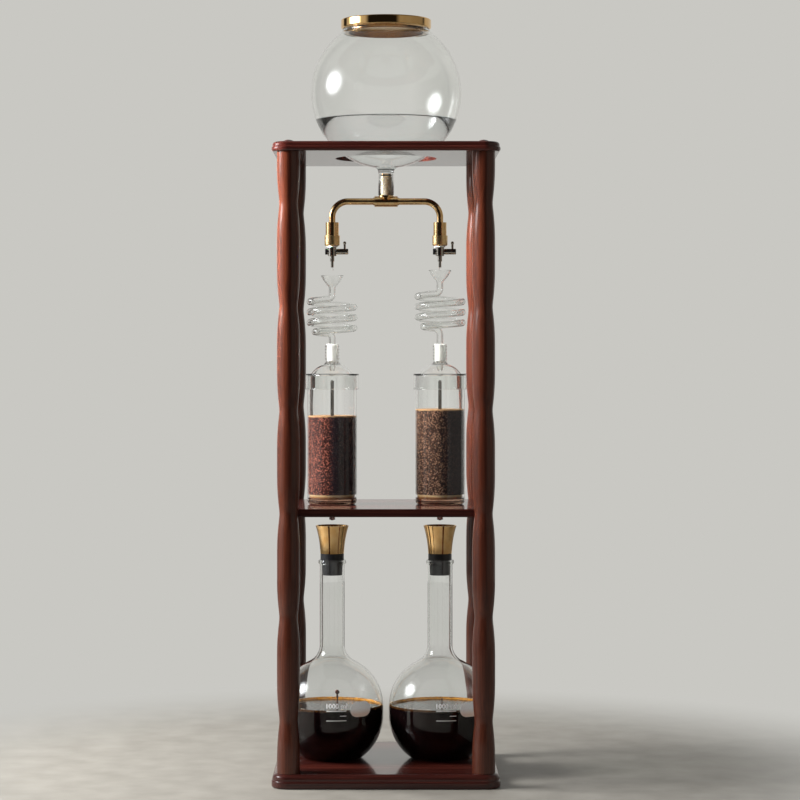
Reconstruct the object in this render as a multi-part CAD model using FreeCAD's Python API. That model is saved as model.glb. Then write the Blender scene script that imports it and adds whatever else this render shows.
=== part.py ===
import FreeCAD, Part
import math
import os
from FreeCAD import Vector

# Cold drip coffee tower, in millimetres. +Z is up, +X is to the right seen from the front,
# and the front faces -Y. The origin is the middle of the base board's underside.
# A glass water bowl sits in the top board and feeds two drip valves through a brass manifold.
# Below each valve stand a glass coil, a brew cylinder on the shelf, and a flask on the base.

os.makedirs("parts", exist_ok=True)

# ---- Clearances -------------------------------------------------------------------------
running_fit = 0.05          # a spindle or ground joint that turns in its bore
loose_fit = 0.3             # curved faces of pieces that come apart
hidden_fit = 0.1            # a screw or dowel in its hole

# ---- Wooden frame -----------------------------------------------------------------------
base_margin = 7.0           # boards past the flasks at each side
base_depth = 270.0
base_thickness = 18.0
top_thickness = 12.0
board_corner_radius = 20.0
base_bead_height = 10.5
top_bead_height = 7.0
bead_rounding = 3.0
board_step = 1.2
base_edge_rounding = 6.0
top_edge_rounding = 4.0

post_inset_x = 21.0         # post axis to the side edge of the boards
post_inset_y = 19.0         # post axis to the front or back edge of the boards
post_bulge_radius = 14.25
post_waist_radius = 11.3
post_waist_rounding = 40.0  # hollow of each waist
post_swell_run = 47.0       # waist to the end of the swell

shelf_thickness = 10.0
waists_below_shelf = 2      # the shelf itself meets the next waist of the posts
waists_above_shelf = 3
shelf_overhang = 4.5        # shelf side edge past the post axis
funnel_room = 17.3          # funnels to the shelf above them, in which they lift out
shelf_edge_rounding = 1.0

screw_shank_radius = 2.5
screw_head_radius = 4.6
screw_head_height = 3.0
screw_recess = 2.0          # head below the underside of the base board
screw_grip = 30.0           # shank inside the post
cap_radius = 6.6
cap_height = 2.8
cap_peg_radius = 5.0
cap_peg_length = 3.5
dowel_radius = 2.5
dowel_length = 28.0
dowel_in_post = 12.0

# ---- Water bowl and lid -----------------------------------------------------------------
bowl_radius = 96.5
bowl_wall = 2.3
bowl_seat_radius = 64.8     # hole in the top board
bowl_mouth_radius = 56.0
bowl_rim_width = 5.2
bowl_rim_height = 3.3
bowl_rim_rounding = 1.5
bowl_neck_radius = 9.95
bowl_neck_length = 34.7     # lowest point of the ball to the end of the neck
bowl_flare = 7.0
bowl_band_height = 96.0     # level zones of the glass, shared out about the ball's middle
bowl_foot_height = 37.0     # from the lower edge of the band to the neck's zone

lid_radius = 57.85
lid_thickness = 12.0
lid_wall = 1.8
lid_collar_depth = 4.4
lid_collar_gap = 0.7
lid_recess = 8.0            # hollow of the underside, inside the collar
lid_top_rounding = 1.5
lid_bottom_rounding = 2.6

# ---- Brass manifold ---------------------------------------------------------------------
tee_drop = 7.6              # end of the bowl's neck to the axis of the tee
tee_radius = 6.8
tee_length = 29.6
tee_lip_radius = 5.0
tee_lip_length = 1.6
tee_flange_radius = 9.6
tee_flange_height = 2.0
tee_bore_radius = 3.4
stem_radius = 6.4
stem_height = 35.4          # axis of the tee to the top of its stem
sleeve_gap = 0.5            # soft sleeve to the flange below it
sleeve_length = 23.5
o_ring_section = 1.0
o_ring_from_top = 2.0
arm_radius = 4.2
arm_bore_radius = 2.6
arm_bend = 20.0
arm_in_tee = 5.0
arm_in_coupling = 6.0
arm_drop = 26.8             # axis of the tee to the top of the coupling
coupling_radius = 8.45
coupling_length = 16.9
coupling_spigot_radius = 6.6
nut_radius = 9.75
nut_length = 13.2
nut_rounding = 2.0
nut_floor = 2.5
washer_radius = 7.0
washer_thickness = 1.5

# ---- Drip valves ------------------------------------------------------------------------
valve_radius = 5.5
valve_height = 11.5
valve_spigot_radius = 4.2
tail_radius = 5.6           # flange above the nut's floor, clamped by the coupling
tail_thickness = 1.6
valve_rounding = 0.6
nozzle_radius = 2.75
nozzle_length = 6.9
tip_radius = 1.8
tip_length = 7.7
valve_bore_radius = 0.9
spindle_radius = 2.9
barrel_radius = 3.7
barrel_gap = 0.2            # barrel and end cap to the side of the valve body
barrel_length = 14.9
barrel_end_rounding = 0.5
lever_from_axis = 16.0
lever_radius = 1.4
lever_head_radius = 2.0
lever_length = 9.5          # above the barrel
end_cap_radius = 3.85
end_cap_length = 3.3
end_cap_bolt = 1.5          # radius of the spindle's end inside the cap
end_cap_grip = 2.3

# ---- Brew cylinders on the shelf --------------------------------------------------------
cylinder_radius = 31.5
cylinder_wall = 2.0
cylinder_height = 165.0
cylinder_rim_rounding = 0.9
cylinder_floor = 3.0
cylinder_corner = 4.5
cylinder_floor_corner = 6.0  # rounding between wall and floor, inside
outlet_radius = 4.0
outlet_bore_radius = 2.4
outlet_length = 20.0
outlet_taper = 2.5
outlet_hole_gap = 1.0       # outlet in the shelf's hole
filter_radius = 29.2
filter_thickness = 5.5
rod_radius = 2.2
rod_length = 148.0
rod_seat_depth = 2.0

shoulder_thickness = 2.0    # flat ring of the dome on the cylinder's rim
skirt_radius = 34.25
skirt_wall = 2.0
skirt_height = 20.0
skirt_rim_rounding = 1.3
skirt_foot_rounding = 0.9
dome_wall = 1.8
dome_sink = 17.56           # middle of the dome's ball below the top of the shoulder
dome_flare = 4.0
neck_bore_gap = running_fit
neck_wall = 1.2
neck_length = 21.4
ridge_count = 5
ridge_pitch = 3.96
ridge_start = 2.77          # foot of the neck to the first ridge
ridge_depth = 0.9
ridge_radius = 1.1

# ---- Glass coils ------------------------------------------------------------------------
coil_tube_radius = 4.3
coil_bore_radius = 2.9
coil_radius = 28.3          # axis of the tube in a turn
coil_pitch = 13.4
coil_turns = 2.75
coil_steps = 12             # straight runs in a turn, joined by arcs
coil_first_angle = 190.0    # where the first turn starts, about the column
coil_lead_in = [(-0.55, -0.3, -0.1)]    # places as shares of radius, radius and pitch
coil_lead_out = [(-0.82, -0.5, -0.15), (-0.66, 0.0, -0.25), (0.0, 0.0, -0.35)]
coil_bottom = 17.5          # top of the ground joint to the end of the last turn
coil_offset = {"left": 0.0, "right": 6.8}
cone_radius = 7.0
cone_length = 22.4
cone_rise = 0.5             # cone above the neck of the dome
tip_drop = 12.0
tip_opening_radius = 1.4
cup_rim_radius = 14.5
cup_height = 15.5
cup_wall = 1.4
cup_flare = 2.5             # rounding between tube and cup
cup_bulge = 0.6             # place of the cup's middle between flare and rim
cup_stem = 14.2             # cup to the first turn
tip_above_cup = 3.6         # valve tip over the higher cup, so that each coil can turn

# ---- Flasks, stoppers and funnels -------------------------------------------------------
flask_radius = 65.5
flask_gap = 7.0             # between the two flasks
flask_wall = 2.0
flask_belly = 54.3          # base board to the lower end of the widest part
flask_belly_height = 10.7
flask_corner = 14.0
flask_neck_radius = 15.9
flask_flare = 22.0
flask_height = 253.0
flask_bead_radius = 17.75
flask_bead_height = 5.6
stopper_radius = 15.0
stopper_height = 8.4        # above the flask's rim
stopper_depth = 19.2        # inside the flask's neck
stopper_taper = 0.9
funnel_base_radius = 15.25
funnel_rim_radius = 21.25
funnel_height = 35.8
funnel_wall = 1.1
funnel_floor = 5.0
funnel_hollow = 1.3         # how far the side bends inwards
spout_radius = 5.0
spout_bore_radius = 3.6
spout_inset = 2.0           # spout ends this far inside the stopper

# ---- Places worked out from the sizes ---------------------------------------------------
column_x = flask_radius + flask_gap / 2
columns = {"left": -column_x, "right": column_x}
base_width = 2 * (column_x + flask_radius + base_margin)
post_x = base_width / 2 - post_inset_x
post_y = base_depth / 2 - post_inset_y
corners = [(x, y) for x in (-post_x, post_x) for y in (-post_y, post_y)]

flask_rim_z = base_thickness + flask_height
flask_bore = flask_neck_radius - flask_wall
funnel_z = flask_rim_z + stopper_height

shelf_z = funnel_z + funnel_height + funnel_room
shelf_top_z = shelf_z + shelf_thickness
shelf_middle_z = shelf_z + shelf_thickness / 2
shelf_half_depth = post_y - post_waist_radius - (
    post_waist_rounding - math.sqrt(post_waist_rounding ** 2 - (shelf_thickness / 2) ** 2))

cylinder_rim_z = shelf_top_z + cylinder_height
cylinder_bore = cylinder_radius - cylinder_wall
filter_z = (shelf_top_z + cylinder_floor + cylinder_floor_corner
            - math.sqrt(cylinder_floor_corner ** 2
                        - (filter_radius - cylinder_bore + cylinder_floor_corner) ** 2))
shoulder_z = cylinder_rim_z + shoulder_thickness
skirt_z = shoulder_z - skirt_height
skirt_bore = skirt_radius - skirt_wall
dome_radius = skirt_bore - loose_fit
ball_z = shoulder_z - dome_sink
neck_bore = cone_radius + neck_bore_gap
neck_radius = neck_bore + neck_wall
neck_z = ball_z + math.sqrt((dome_radius + dome_flare) ** 2 - (neck_radius + dome_flare) ** 2)
neck_top_z = neck_z + neck_length
cone_top_z = neck_top_z + cone_rise
coil_end_z = {side: cone_top_z + coil_bottom + lift for side, lift in coil_offset.items()}
coil_start_z = {side: z + coil_pitch * coil_turns for side, z in coil_end_z.items()}
cup_base_z = {side: z + coil_pitch / 4 + cup_stem for side, z in coil_start_z.items()}

valve_tip_z = max(cup_base_z.values()) + cup_height + tip_above_cup
valve_bottom_z = valve_tip_z + nozzle_length + tip_length
valve_top_z = valve_bottom_z + valve_height
spindle_z = (valve_top_z + valve_bottom_z) / 2
washer_top_z = valve_top_z + washer_thickness
tail_top_z = washer_top_z + nut_floor + tail_thickness
nut_top_z = washer_top_z + nut_length
coupling_top_z = nut_top_z + coupling_length
tee_z = coupling_top_z + arm_drop
stem_top_z = tee_z + stem_height
barrel_start = valve_radius + barrel_gap
barrel_end = barrel_start + barrel_length

bowl_neck_z = tee_z + tee_drop
bowl_neck_bore = bowl_neck_radius - bowl_wall
bowl_z = bowl_neck_z + bowl_neck_length + bowl_radius
bowl_mouth_z = bowl_z + math.sqrt(bowl_radius ** 2 - bowl_mouth_radius ** 2)
bowl_rim_z = bowl_mouth_z + bowl_rim_height

deck_z = bowl_z - math.sqrt((bowl_radius + loose_fit) ** 2 - bowl_seat_radius ** 2)
top_board_z = deck_z - top_thickness
post_length = top_board_z - base_thickness
lower_pitch = (shelf_middle_z - base_thickness) / (waists_below_shelf + 0.5)
upper_pitch = (top_board_z - shelf_middle_z) / (waists_above_shelf + 0.5)
waist_heights = [lower_pitch * (count + 0.5) for count in range(waists_below_shelf + 1)]
waist_heights += [top_board_z - base_thickness - upper_pitch * (count + 0.5)
                  for count in reversed(range(waists_above_shelf))]

ORIGIN = Vector(0, 0, 0)
RIGHT = Vector(1, 0, 0)
UP = Vector(0, 0, 1)


# ---- Helpers ----------------------------------------------------------------------------
def arc(centre_r, centre_z, radius, start, end):
    """An arc of an outline about a centre, between two angles in degrees, as (middle, end)."""
    middle = math.radians((start + end) / 2)
    finish = math.radians(end)
    return ((centre_r + radius * math.cos(middle), centre_z + radius * math.sin(middle)),
            (centre_r + radius * math.cos(finish), centre_z + radius * math.sin(finish)))


def turned(start, *steps):
    """A solid turned about Z from an outline of corners (r, z) and arcs (middle, end)."""
    here = Vector(start[0], 0, start[1])
    edges = []
    for step in steps + (start,):
        if isinstance(step[0], tuple):
            middle = Vector(step[0][0], 0, step[0][1])
            end = Vector(step[1][0], 0, step[1][1])
            edges.append(Part.Arc(here, middle, end).toShape())
        else:
            end = Vector(step[0], 0, step[1])
            if end.distanceToPoint(here) > 1e-6:
                edges.append(Part.LineSegment(here, end).toShape())
        here = end
    return Part.Face(Part.Wire(edges)).revolve(ORIGIN, UP, 360)


def disc(radius, low_z, high_z, x=0.0, y=0.0):
    """An upright cylinder."""
    return Part.makeCylinder(radius, high_z - low_z, Vector(x, y, low_z), UP)


def cross_bar(radius, low_x, high_x, z):
    """A cylinder along X."""
    return Part.makeCylinder(radius, high_x - low_x, Vector(low_x, 0, z), RIGHT)


def flare_angle(ball_radius, tube_radius, flare):
    """Angle above the equator at which a flare of that radius leaves a ball for its neck."""
    return math.degrees(math.acos((tube_radius + flare) / (ball_radius + flare)))


def flare_height(ball_radius, tube_radius, flare):
    """Height above the ball's centre at which the flare meets the neck."""
    return math.sqrt((ball_radius + flare) ** 2 - (tube_radius + flare) ** 2)


def rounded_path(points, share=0.45):
    """Straight runs joined by tangent arcs that take up a share of the shorter run."""
    here = points[0]
    edges = []
    for before, corner, after in zip(points, points[1:], points[2:]):
        back = before - corner
        ahead = after - corner
        half_turn = (math.pi - back.getAngle(ahead)) / 2
        setback = share * min(back.Length, ahead.Length)
        radius = setback / math.tan(half_turn)
        back.normalize()
        ahead.normalize()
        inwards = back + ahead
        inwards.normalize()
        middle = corner + inwards * (radius / math.cos(half_turn) - radius)
        edges.append(Part.LineSegment(here, corner + back * setback).toShape())
        here = corner + ahead * setback
        edges.append(Part.Arc(corner + back * setback, middle, here).toShape())
    edges.append(Part.LineSegment(here, points[-1]).toShape())
    return Part.Wire(edges)


def rod_along(path, radius):
    """A round rod swept along a path."""
    first = path.Edges[0]
    start = first.valueAt(first.FirstParameter)
    circle = Part.Circle(start, first.tangentAt(first.FirstParameter), radius).toShape()
    return path.makePipeShell([Part.Wire([circle])], True, False)


def moved(shape, x=0.0, y=0.0, z=0.0):
    """A copy of a shape, moved."""
    copy = shape.copy()
    copy.translate(Vector(x, y, z))
    return copy


def save(name, solids):
    """Write one node: a single solid or a group of them."""
    shape = Part.Compound(solids) if isinstance(solids, list) else solids
    shape.exportStep("parts/" + name + ".step")
    print(name, len(shape.Solids), "solids", round(shape.Volume / 1000, 1), "cm3")


# ---- Wooden frame -----------------------------------------------------------------------
def board(low_z, thickness, bead_height, edge_rounding):
    """A board with round corners and a moulded edge: a bead below, a step and a quarter round."""
    def slab(inset, z, height):
        width = base_width - 2 * inset
        depth = base_depth - 2 * inset
        box = Part.makeBox(width, depth, height, Vector(-width / 2, -depth / 2, z))
        upright = [edge for edge in box.Edges if abs(edge.tangentAt(edge.FirstParameter).z) > 0.9]
        return box.makeFillet(board_corner_radius - inset, upright)

    def rim(shape, z):
        return [edge for edge in shape.Edges
                if abs(edge.BoundBox.ZMin - z) < 1e-3 and abs(edge.BoundBox.ZMax - z) < 1e-3]

    bead = slab(0, low_z, bead_height)
    bead = bead.makeFillet(bead_rounding, rim(bead, low_z) + rim(bead, low_z + bead_height))
    upper = slab(board_step, low_z + bead_height / 2, thickness - bead_height / 2)
    upper = upper.makeFillet(edge_rounding, rim(upper, low_z + thickness))
    return bead.fuse(upper)


def screw(head_z, tip_z):
    """A countersunk wood screw: a flat head face at head_z and a pointed tip."""
    way = 1 if tip_z > head_z else -1
    return turned((0, head_z), (screw_head_radius, head_z),
                  (screw_shank_radius, head_z + way * screw_head_height),
                  (screw_shank_radius, tip_z - way * 2 * screw_shank_radius), (0, tip_z))


def countersink(head_z, face_z, way):
    """The hole for that screw, open to the board's face and through the board."""
    wide = screw_head_radius + hidden_fit
    narrow = screw_shank_radius + hidden_fit
    return turned((0, face_z), (wide, face_z), (wide, head_z),
                  (narrow, head_z + way * screw_head_height),
                  (narrow, head_z + way * base_thickness), (0, head_z + way * base_thickness))


def post():
    """A turned post: waists and bulges that run into each other along its length."""
    swell = post_bulge_radius - post_waist_radius
    slope = 2 * math.degrees(math.atan2(swell, post_swell_run))
    bulge_rounding = post_swell_run / math.sin(math.radians(slope)) - post_waist_rounding
    steps = [(post_bulge_radius, 0.0)]
    for waist_z in waist_heights:
        steps.append((post_bulge_radius, waist_z - post_swell_run))
        steps.append(arc(post_bulge_radius - bulge_rounding, waist_z - post_swell_run,
                         bulge_rounding, 0, slope))
        steps.append(arc(post_waist_radius + post_waist_rounding, waist_z,
                         post_waist_rounding, 180 + slope, 180 - slope))
        steps.append(arc(post_bulge_radius - bulge_rounding, waist_z + post_swell_run,
                         bulge_rounding, -slope, 0))
    steps.append((post_bulge_radius, post_length))
    solid = turned((0, 0), *steps, (0, post_length))
    pilot = screw_shank_radius + hidden_fit
    solid = solid.cut(disc(pilot, 0, screw_grip + 1))
    return solid.cut(disc(pilot, post_length - screw_grip - 1, post_length))


def dowel(x, side):
    """A dowel that joins the shelf's edge to a post; side is -1 at the front and 1 at the back."""
    start = side * (post_y - post_waist_radius + dowel_in_post)
    return Part.makeCylinder(dowel_radius, dowel_length, Vector(x, start, shelf_middle_z),
                             Vector(0, -side, 0))


def dowel_hole(x, side):
    """The hole for that dowel, a little wider and longer."""
    start = side * (post_y - post_waist_radius + dowel_in_post + hidden_fit)
    return Part.makeCylinder(dowel_radius + hidden_fit, dowel_length + 2 * hidden_fit,
                             Vector(x, start, shelf_middle_z), Vector(0, -side, 0))


def build_frame():
    base = board(0, base_thickness, base_bead_height, base_edge_rounding)
    top = board(top_board_z, top_thickness, top_bead_height, top_edge_rounding)
    top = top.cut(disc(bowl_seat_radius, top_board_z - 1, deck_z + 1))
    shelf_half_width = post_x + shelf_overhang
    shelf = Part.makeBox(2 * shelf_half_width, 2 * shelf_half_depth, shelf_thickness,
                         Vector(-shelf_half_width, -shelf_half_depth, shelf_z))
    shelf = shelf.makeFillet(shelf_edge_rounding, shelf.Edges)
    for x in columns.values():
        hole = disc(outlet_radius + outlet_hole_gap, shelf_z - 1, shelf_top_z + 1, x)
        shelf = shelf.cut(hole)

    top_head_z = deck_z - cap_peg_length
    base_tip_z = base_thickness + screw_grip
    top_tip_z = top_board_z - screw_grip
    base_screws, top_screws, caps, dowels = [], [], [], []
    for x, y in corners:
        side = 1 if y > 0 else -1
        base = base.cut(moved(countersink(screw_recess, 0, 1), x, y))
        top = top.cut(moved(countersink(top_head_z, top_head_z, -1), x, y))
        top = top.cut(disc(cap_peg_radius + hidden_fit, top_head_z, deck_z + 1, x, y))
        shelf = shelf.cut(dowel_hole(x, side))
        base_screws.append(moved(screw(screw_recess, base_tip_z), x, y))
        top_screws.append(moved(screw(top_head_z, top_tip_z), x, y))
        dowels.append(dowel(x, side))
        dome = math.degrees(2 * math.atan2(cap_height - 1, cap_radius))
        dome_ball = cap_radius / math.sin(math.radians(dome))
        cap = turned((0, top_head_z), (cap_peg_radius, top_head_z), (cap_peg_radius, deck_z),
                     (cap_radius, deck_z), (cap_radius, deck_z + 1),
                     arc(0, deck_z + cap_height - dome_ball, dome_ball, 90 - dome, 90))
        caps.append(moved(cap, x, y))
        post_solid = moved(post(), x, y, base_thickness).cut(dowel_hole(x, side))
        save("post_" + ("back_" if y > 0 else "front_") + ("right" if x > 0 else "left"),
             post_solid)
    save("base_board", base)
    save("top_board", top)
    save("middle_shelf", shelf)
    save("base_screws", base_screws)
    save("top_screws", top_screws)
    save("screw_caps", caps)
    save("shelf_dowels", dowels)


# ---- Water bowl and lid -----------------------------------------------------------------
def bowl_fill(inset, mouth_radius, top_z, neck_z):
    """The bowl as a filled body, drawn in by the wall for its inside."""
    ball = bowl_radius - inset
    tube = bowl_neck_radius - inset
    flare = bowl_flare + inset
    leave = flare_angle(ball, tube, flare)
    flare_z = bowl_z - flare_height(ball, tube, flare)
    mouth = math.degrees(math.acos(mouth_radius / ball))
    return turned((0, neck_z), (tube, neck_z), (tube, flare_z),
                  arc(tube + flare, flare_z, flare, 180, 180 - leave),
                  arc(0, bowl_z, ball, -leave, mouth),
                  (mouth_radius, top_z), (0, top_z))


def build_bowl():
    """The blown bowl. Its one wall is given as four level zones that meet face to face."""
    mouth_bore = bowl_mouth_radius - bowl_rim_width
    outside = bowl_fill(0, bowl_mouth_radius, bowl_rim_z, bowl_neck_z)
    inside = bowl_fill(bowl_wall, mouth_bore, bowl_rim_z + 1, bowl_neck_z - 1)
    bowl = outside.cut(inside)
    rim_edges = [edge for edge in bowl.Edges if abs(edge.BoundBox.ZMin - bowl_rim_z) < 1e-3]
    bowl = bowl.makeFillet(bowl_rim_rounding, rim_edges)
    band_z = bowl_z - bowl_band_height / 2
    levels = [bowl_neck_z - 1, band_z - bowl_foot_height, band_z, band_z + bowl_band_height,
              bowl_rim_z + 1]
    for zone, low_z, high_z in zip(("neck", "foot", "band", "crown"), levels, levels[1:]):
        save("water_bowl_" + zone, bowl.common(disc(bowl_radius + 1, low_z, high_z)))


def build_bowl_lid():
    collar = bowl_mouth_radius - bowl_rim_width - lid_collar_gap
    top_z = bowl_rim_z + lid_thickness
    collar_end_z = bowl_rim_z - lid_collar_depth
    bore = collar - lid_wall
    ceiling_z = collar_end_z + lid_recess
    lid = turned((0, top_z), (0, ceiling_z), (bore, ceiling_z),
                 (bore, collar_end_z), (collar, collar_end_z), (collar, bowl_rim_z),
                 (lid_radius - lid_bottom_rounding, bowl_rim_z),
                 arc(lid_radius - lid_bottom_rounding, bowl_rim_z + lid_bottom_rounding,
                     lid_bottom_rounding, -90, 0),
                 (lid_radius, top_z - lid_top_rounding),
                 arc(lid_radius - lid_top_rounding, top_z - lid_top_rounding,
                     lid_top_rounding, 0, 90))
    save("bowl_lid", lid)


# ---- Brass manifold and drip valves -----------------------------------------------------
def build_tee():
    half = tee_length / 2
    tee = cross_bar(tee_radius, -half, half, tee_z)
    tee = tee.fuse(cross_bar(tee_lip_radius, -half - tee_lip_length, half + tee_lip_length, tee_z))
    tee = tee.fuse(disc(stem_radius, tee_z, stem_top_z))
    flange_top_z = bowl_neck_z - loose_fit
    tee = tee.fuse(disc(tee_flange_radius, flange_top_z - tee_flange_height, flange_top_z))
    tee = tee.cut(disc(tee_bore_radius, tee_z, stem_top_z + 1))
    for side in (-1, 1):
        outer = side * (half + tee_lip_length + 1)
        inner = side * (half + tee_lip_length - arm_in_tee)
        low, high = min(outer, inner), max(outer, inner)
        tee = tee.cut(cross_bar(arm_radius, low, high, tee_z))
    tee = tee.cut(cross_bar(arm_bore_radius, -half, half, tee_z))
    ring_z = stem_top_z - o_ring_from_top
    ring_middle = bowl_neck_bore - loose_fit - o_ring_section
    ring = Part.makeTorus(ring_middle, o_ring_section, Vector(0, 0, ring_z), UP)
    save("tee_fitting", tee.cut(ring))
    save("stem_o_ring", ring)
    sleeve_z = flange_top_z + sleeve_gap
    sleeve = disc(bowl_neck_bore - loose_fit, sleeve_z, sleeve_z + sleeve_length)
    save("stem_sleeve", sleeve.cut(disc(stem_radius, sleeve_z, sleeve_z + sleeve_length)))


def arm():
    """The right-hand arm: out of the tee, round a bend and down into its coupling."""
    start_x = tee_length / 2 + tee_lip_length - arm_in_tee
    bend_x = column_x - arm_bend
    bend_z = tee_z - arm_bend
    end_z = coupling_top_z - arm_in_coupling
    turn = math.radians(45)
    middle = Vector(bend_x + arm_bend * math.cos(turn), 0, bend_z + arm_bend * math.sin(turn))
    path = Part.Wire([
        Part.LineSegment(Vector(start_x, 0, tee_z), Vector(bend_x, 0, tee_z)).toShape(),
        Part.Arc(Vector(bend_x, 0, tee_z), middle, Vector(column_x, 0, bend_z)).toShape(),
        Part.LineSegment(Vector(column_x, 0, bend_z), Vector(column_x, 0, end_z)).toShape()])
    return rod_along(path, arm_radius).cut(rod_along(path, arm_bore_radius))


def coupling():
    """The sleeve soldered on an arm, with a spigot that the union nut screws on."""
    spigot_z = tail_top_z
    socket_z = coupling_top_z - arm_in_coupling
    return turned((arm_radius, coupling_top_z), (coupling_radius, coupling_top_z),
                  (coupling_radius, nut_top_z), (coupling_spigot_radius, nut_top_z),
                  (coupling_spigot_radius, spigot_z), (arm_bore_radius, spigot_z),
                  (arm_bore_radius, socket_z), (arm_radius, socket_z))


def union_nut():
    """The nut that holds a valve to its coupling."""
    bore = coupling_spigot_radius + hidden_fit
    floor_z = washer_top_z + nut_floor
    hole = valve_spigot_radius + hidden_fit
    return turned((bore, nut_top_z), (nut_radius, nut_top_z),
                  (nut_radius, washer_top_z + nut_rounding),
                  arc(nut_radius - nut_rounding, washer_top_z + nut_rounding, nut_rounding, 0, -90),
                  (hole, washer_top_z), (hole, floor_z), (bore, floor_z))


def washer():
    """The white sealing washer between nut and valve."""
    hole = valve_spigot_radius + hidden_fit
    return disc(washer_radius, valve_top_z, washer_top_z).cut(
        disc(hole, valve_top_z, washer_top_z))


def valve_body():
    """The plated body of a drip valve, with a cross bore for the spindle and a fine tip."""
    floor_z = tail_top_z - tail_thickness
    nozzle_z = valve_bottom_z - nozzle_length
    body = turned((valve_bore_radius, tail_top_z), (tail_radius, tail_top_z),
                  (tail_radius, floor_z), (valve_spigot_radius, floor_z),
                  (valve_spigot_radius, valve_top_z), (valve_radius, valve_top_z),
                  (valve_radius, valve_bottom_z + valve_rounding),
                  (valve_radius - valve_rounding, valve_bottom_z),
                  (nozzle_radius, valve_bottom_z), (nozzle_radius, nozzle_z),
                  (tip_radius, nozzle_z), (tip_radius, valve_tip_z),
                  (valve_bore_radius, valve_tip_z))
    bore = spindle_radius + running_fit
    return body.cut(cross_bar(bore, -2 * valve_radius, 2 * valve_radius, spindle_z))


def spindle():
    """The turning plug of a valve, with its barrel on the right and its drip hole upright."""
    plug = cross_bar(spindle_radius, -barrel_start, barrel_start, spindle_z)
    barrel = cross_bar(barrel_radius, barrel_start, barrel_end, spindle_z)
    barrel = barrel.makeChamfer(barrel_end_rounding, [
        edge for edge in barrel.Edges if abs(edge.BoundBox.XMin - barrel_end) < 1e-3])
    bolt = cross_bar(end_cap_bolt, -barrel_start - end_cap_grip, -barrel_start, spindle_z)
    solid = plug.fuse(barrel).fuse(bolt)
    solid = solid.cut(disc(valve_bore_radius, spindle_z - barrel_radius, spindle_z + barrel_radius))
    lever_hole = disc(lever_radius, spindle_z, spindle_z + 2 * barrel_radius, lever_from_axis)
    return solid.cut(lever_hole)


def lever_pin():
    """The small upright pin that turns the spindle."""
    top_z = spindle_z + barrel_radius + lever_length
    neck_z = top_z - 2 * lever_head_radius
    pin = turned((0, spindle_z), (lever_radius, spindle_z), (lever_radius, neck_z),
                 (lever_head_radius, neck_z + lever_radius),
                 (lever_head_radius, top_z - lever_head_radius),
                 arc(0, top_z - lever_head_radius, lever_head_radius, 0, 90))
    return moved(pin, lever_from_axis)


def end_cap():
    """The black cap pressed on the spindle's left end."""
    cap = cross_bar(end_cap_radius, -barrel_start - end_cap_length, -barrel_start, spindle_z)
    return cap.cut(cross_bar(end_cap_bolt, -barrel_start - end_cap_grip, -barrel_start, spindle_z))


def build_manifold():
    build_tee()
    right_arm = arm()
    save("arm_right", right_arm)
    save("arm_left", right_arm.mirror(ORIGIN, RIGHT))
    column_pieces = {"coupling": coupling(), "union_nut": union_nut(), "washer": washer(),
                     "valve_body": valve_body(), "valve_spindle": spindle(),
                     "lever_pin": lever_pin(), "valve_end_cap": end_cap()}
    for side, x in columns.items():
        for name, solid in column_pieces.items():
            save(name + "_" + side, moved(solid, x))


# ---- Brew cylinders ---------------------------------------------------------------------
def brew_cylinder():
    """The glass cylinder: an outlet below, a flat floor and a rounded rim."""
    outlet_z = shelf_top_z - outlet_length
    floor_z = shelf_top_z + cylinder_floor
    corner_r = cylinder_bore - cylinder_floor_corner
    corner_z = floor_z + cylinder_floor_corner
    round_z = cylinder_rim_z - cylinder_rim_rounding
    return turned(
        (outlet_bore_radius, outlet_z), (outlet_radius, outlet_z), (outlet_radius, shelf_top_z),
        (cylinder_radius - cylinder_corner, shelf_top_z),
        arc(cylinder_radius - cylinder_corner, shelf_top_z + cylinder_corner,
            cylinder_corner, -90, 0),
        (cylinder_radius, round_z),
        arc(cylinder_radius - cylinder_rim_rounding, round_z, cylinder_rim_rounding, 0, 90),
        (cylinder_bore + cylinder_rim_rounding, cylinder_rim_z),
        arc(cylinder_bore + cylinder_rim_rounding, round_z, cylinder_rim_rounding, 90, 180),
        (cylinder_bore, corner_z), arc(corner_r, corner_z, cylinder_floor_corner, 0, -90),
        (outlet_bore_radius + outlet_taper, floor_z),
        (outlet_bore_radius, floor_z - outlet_taper))


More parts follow.
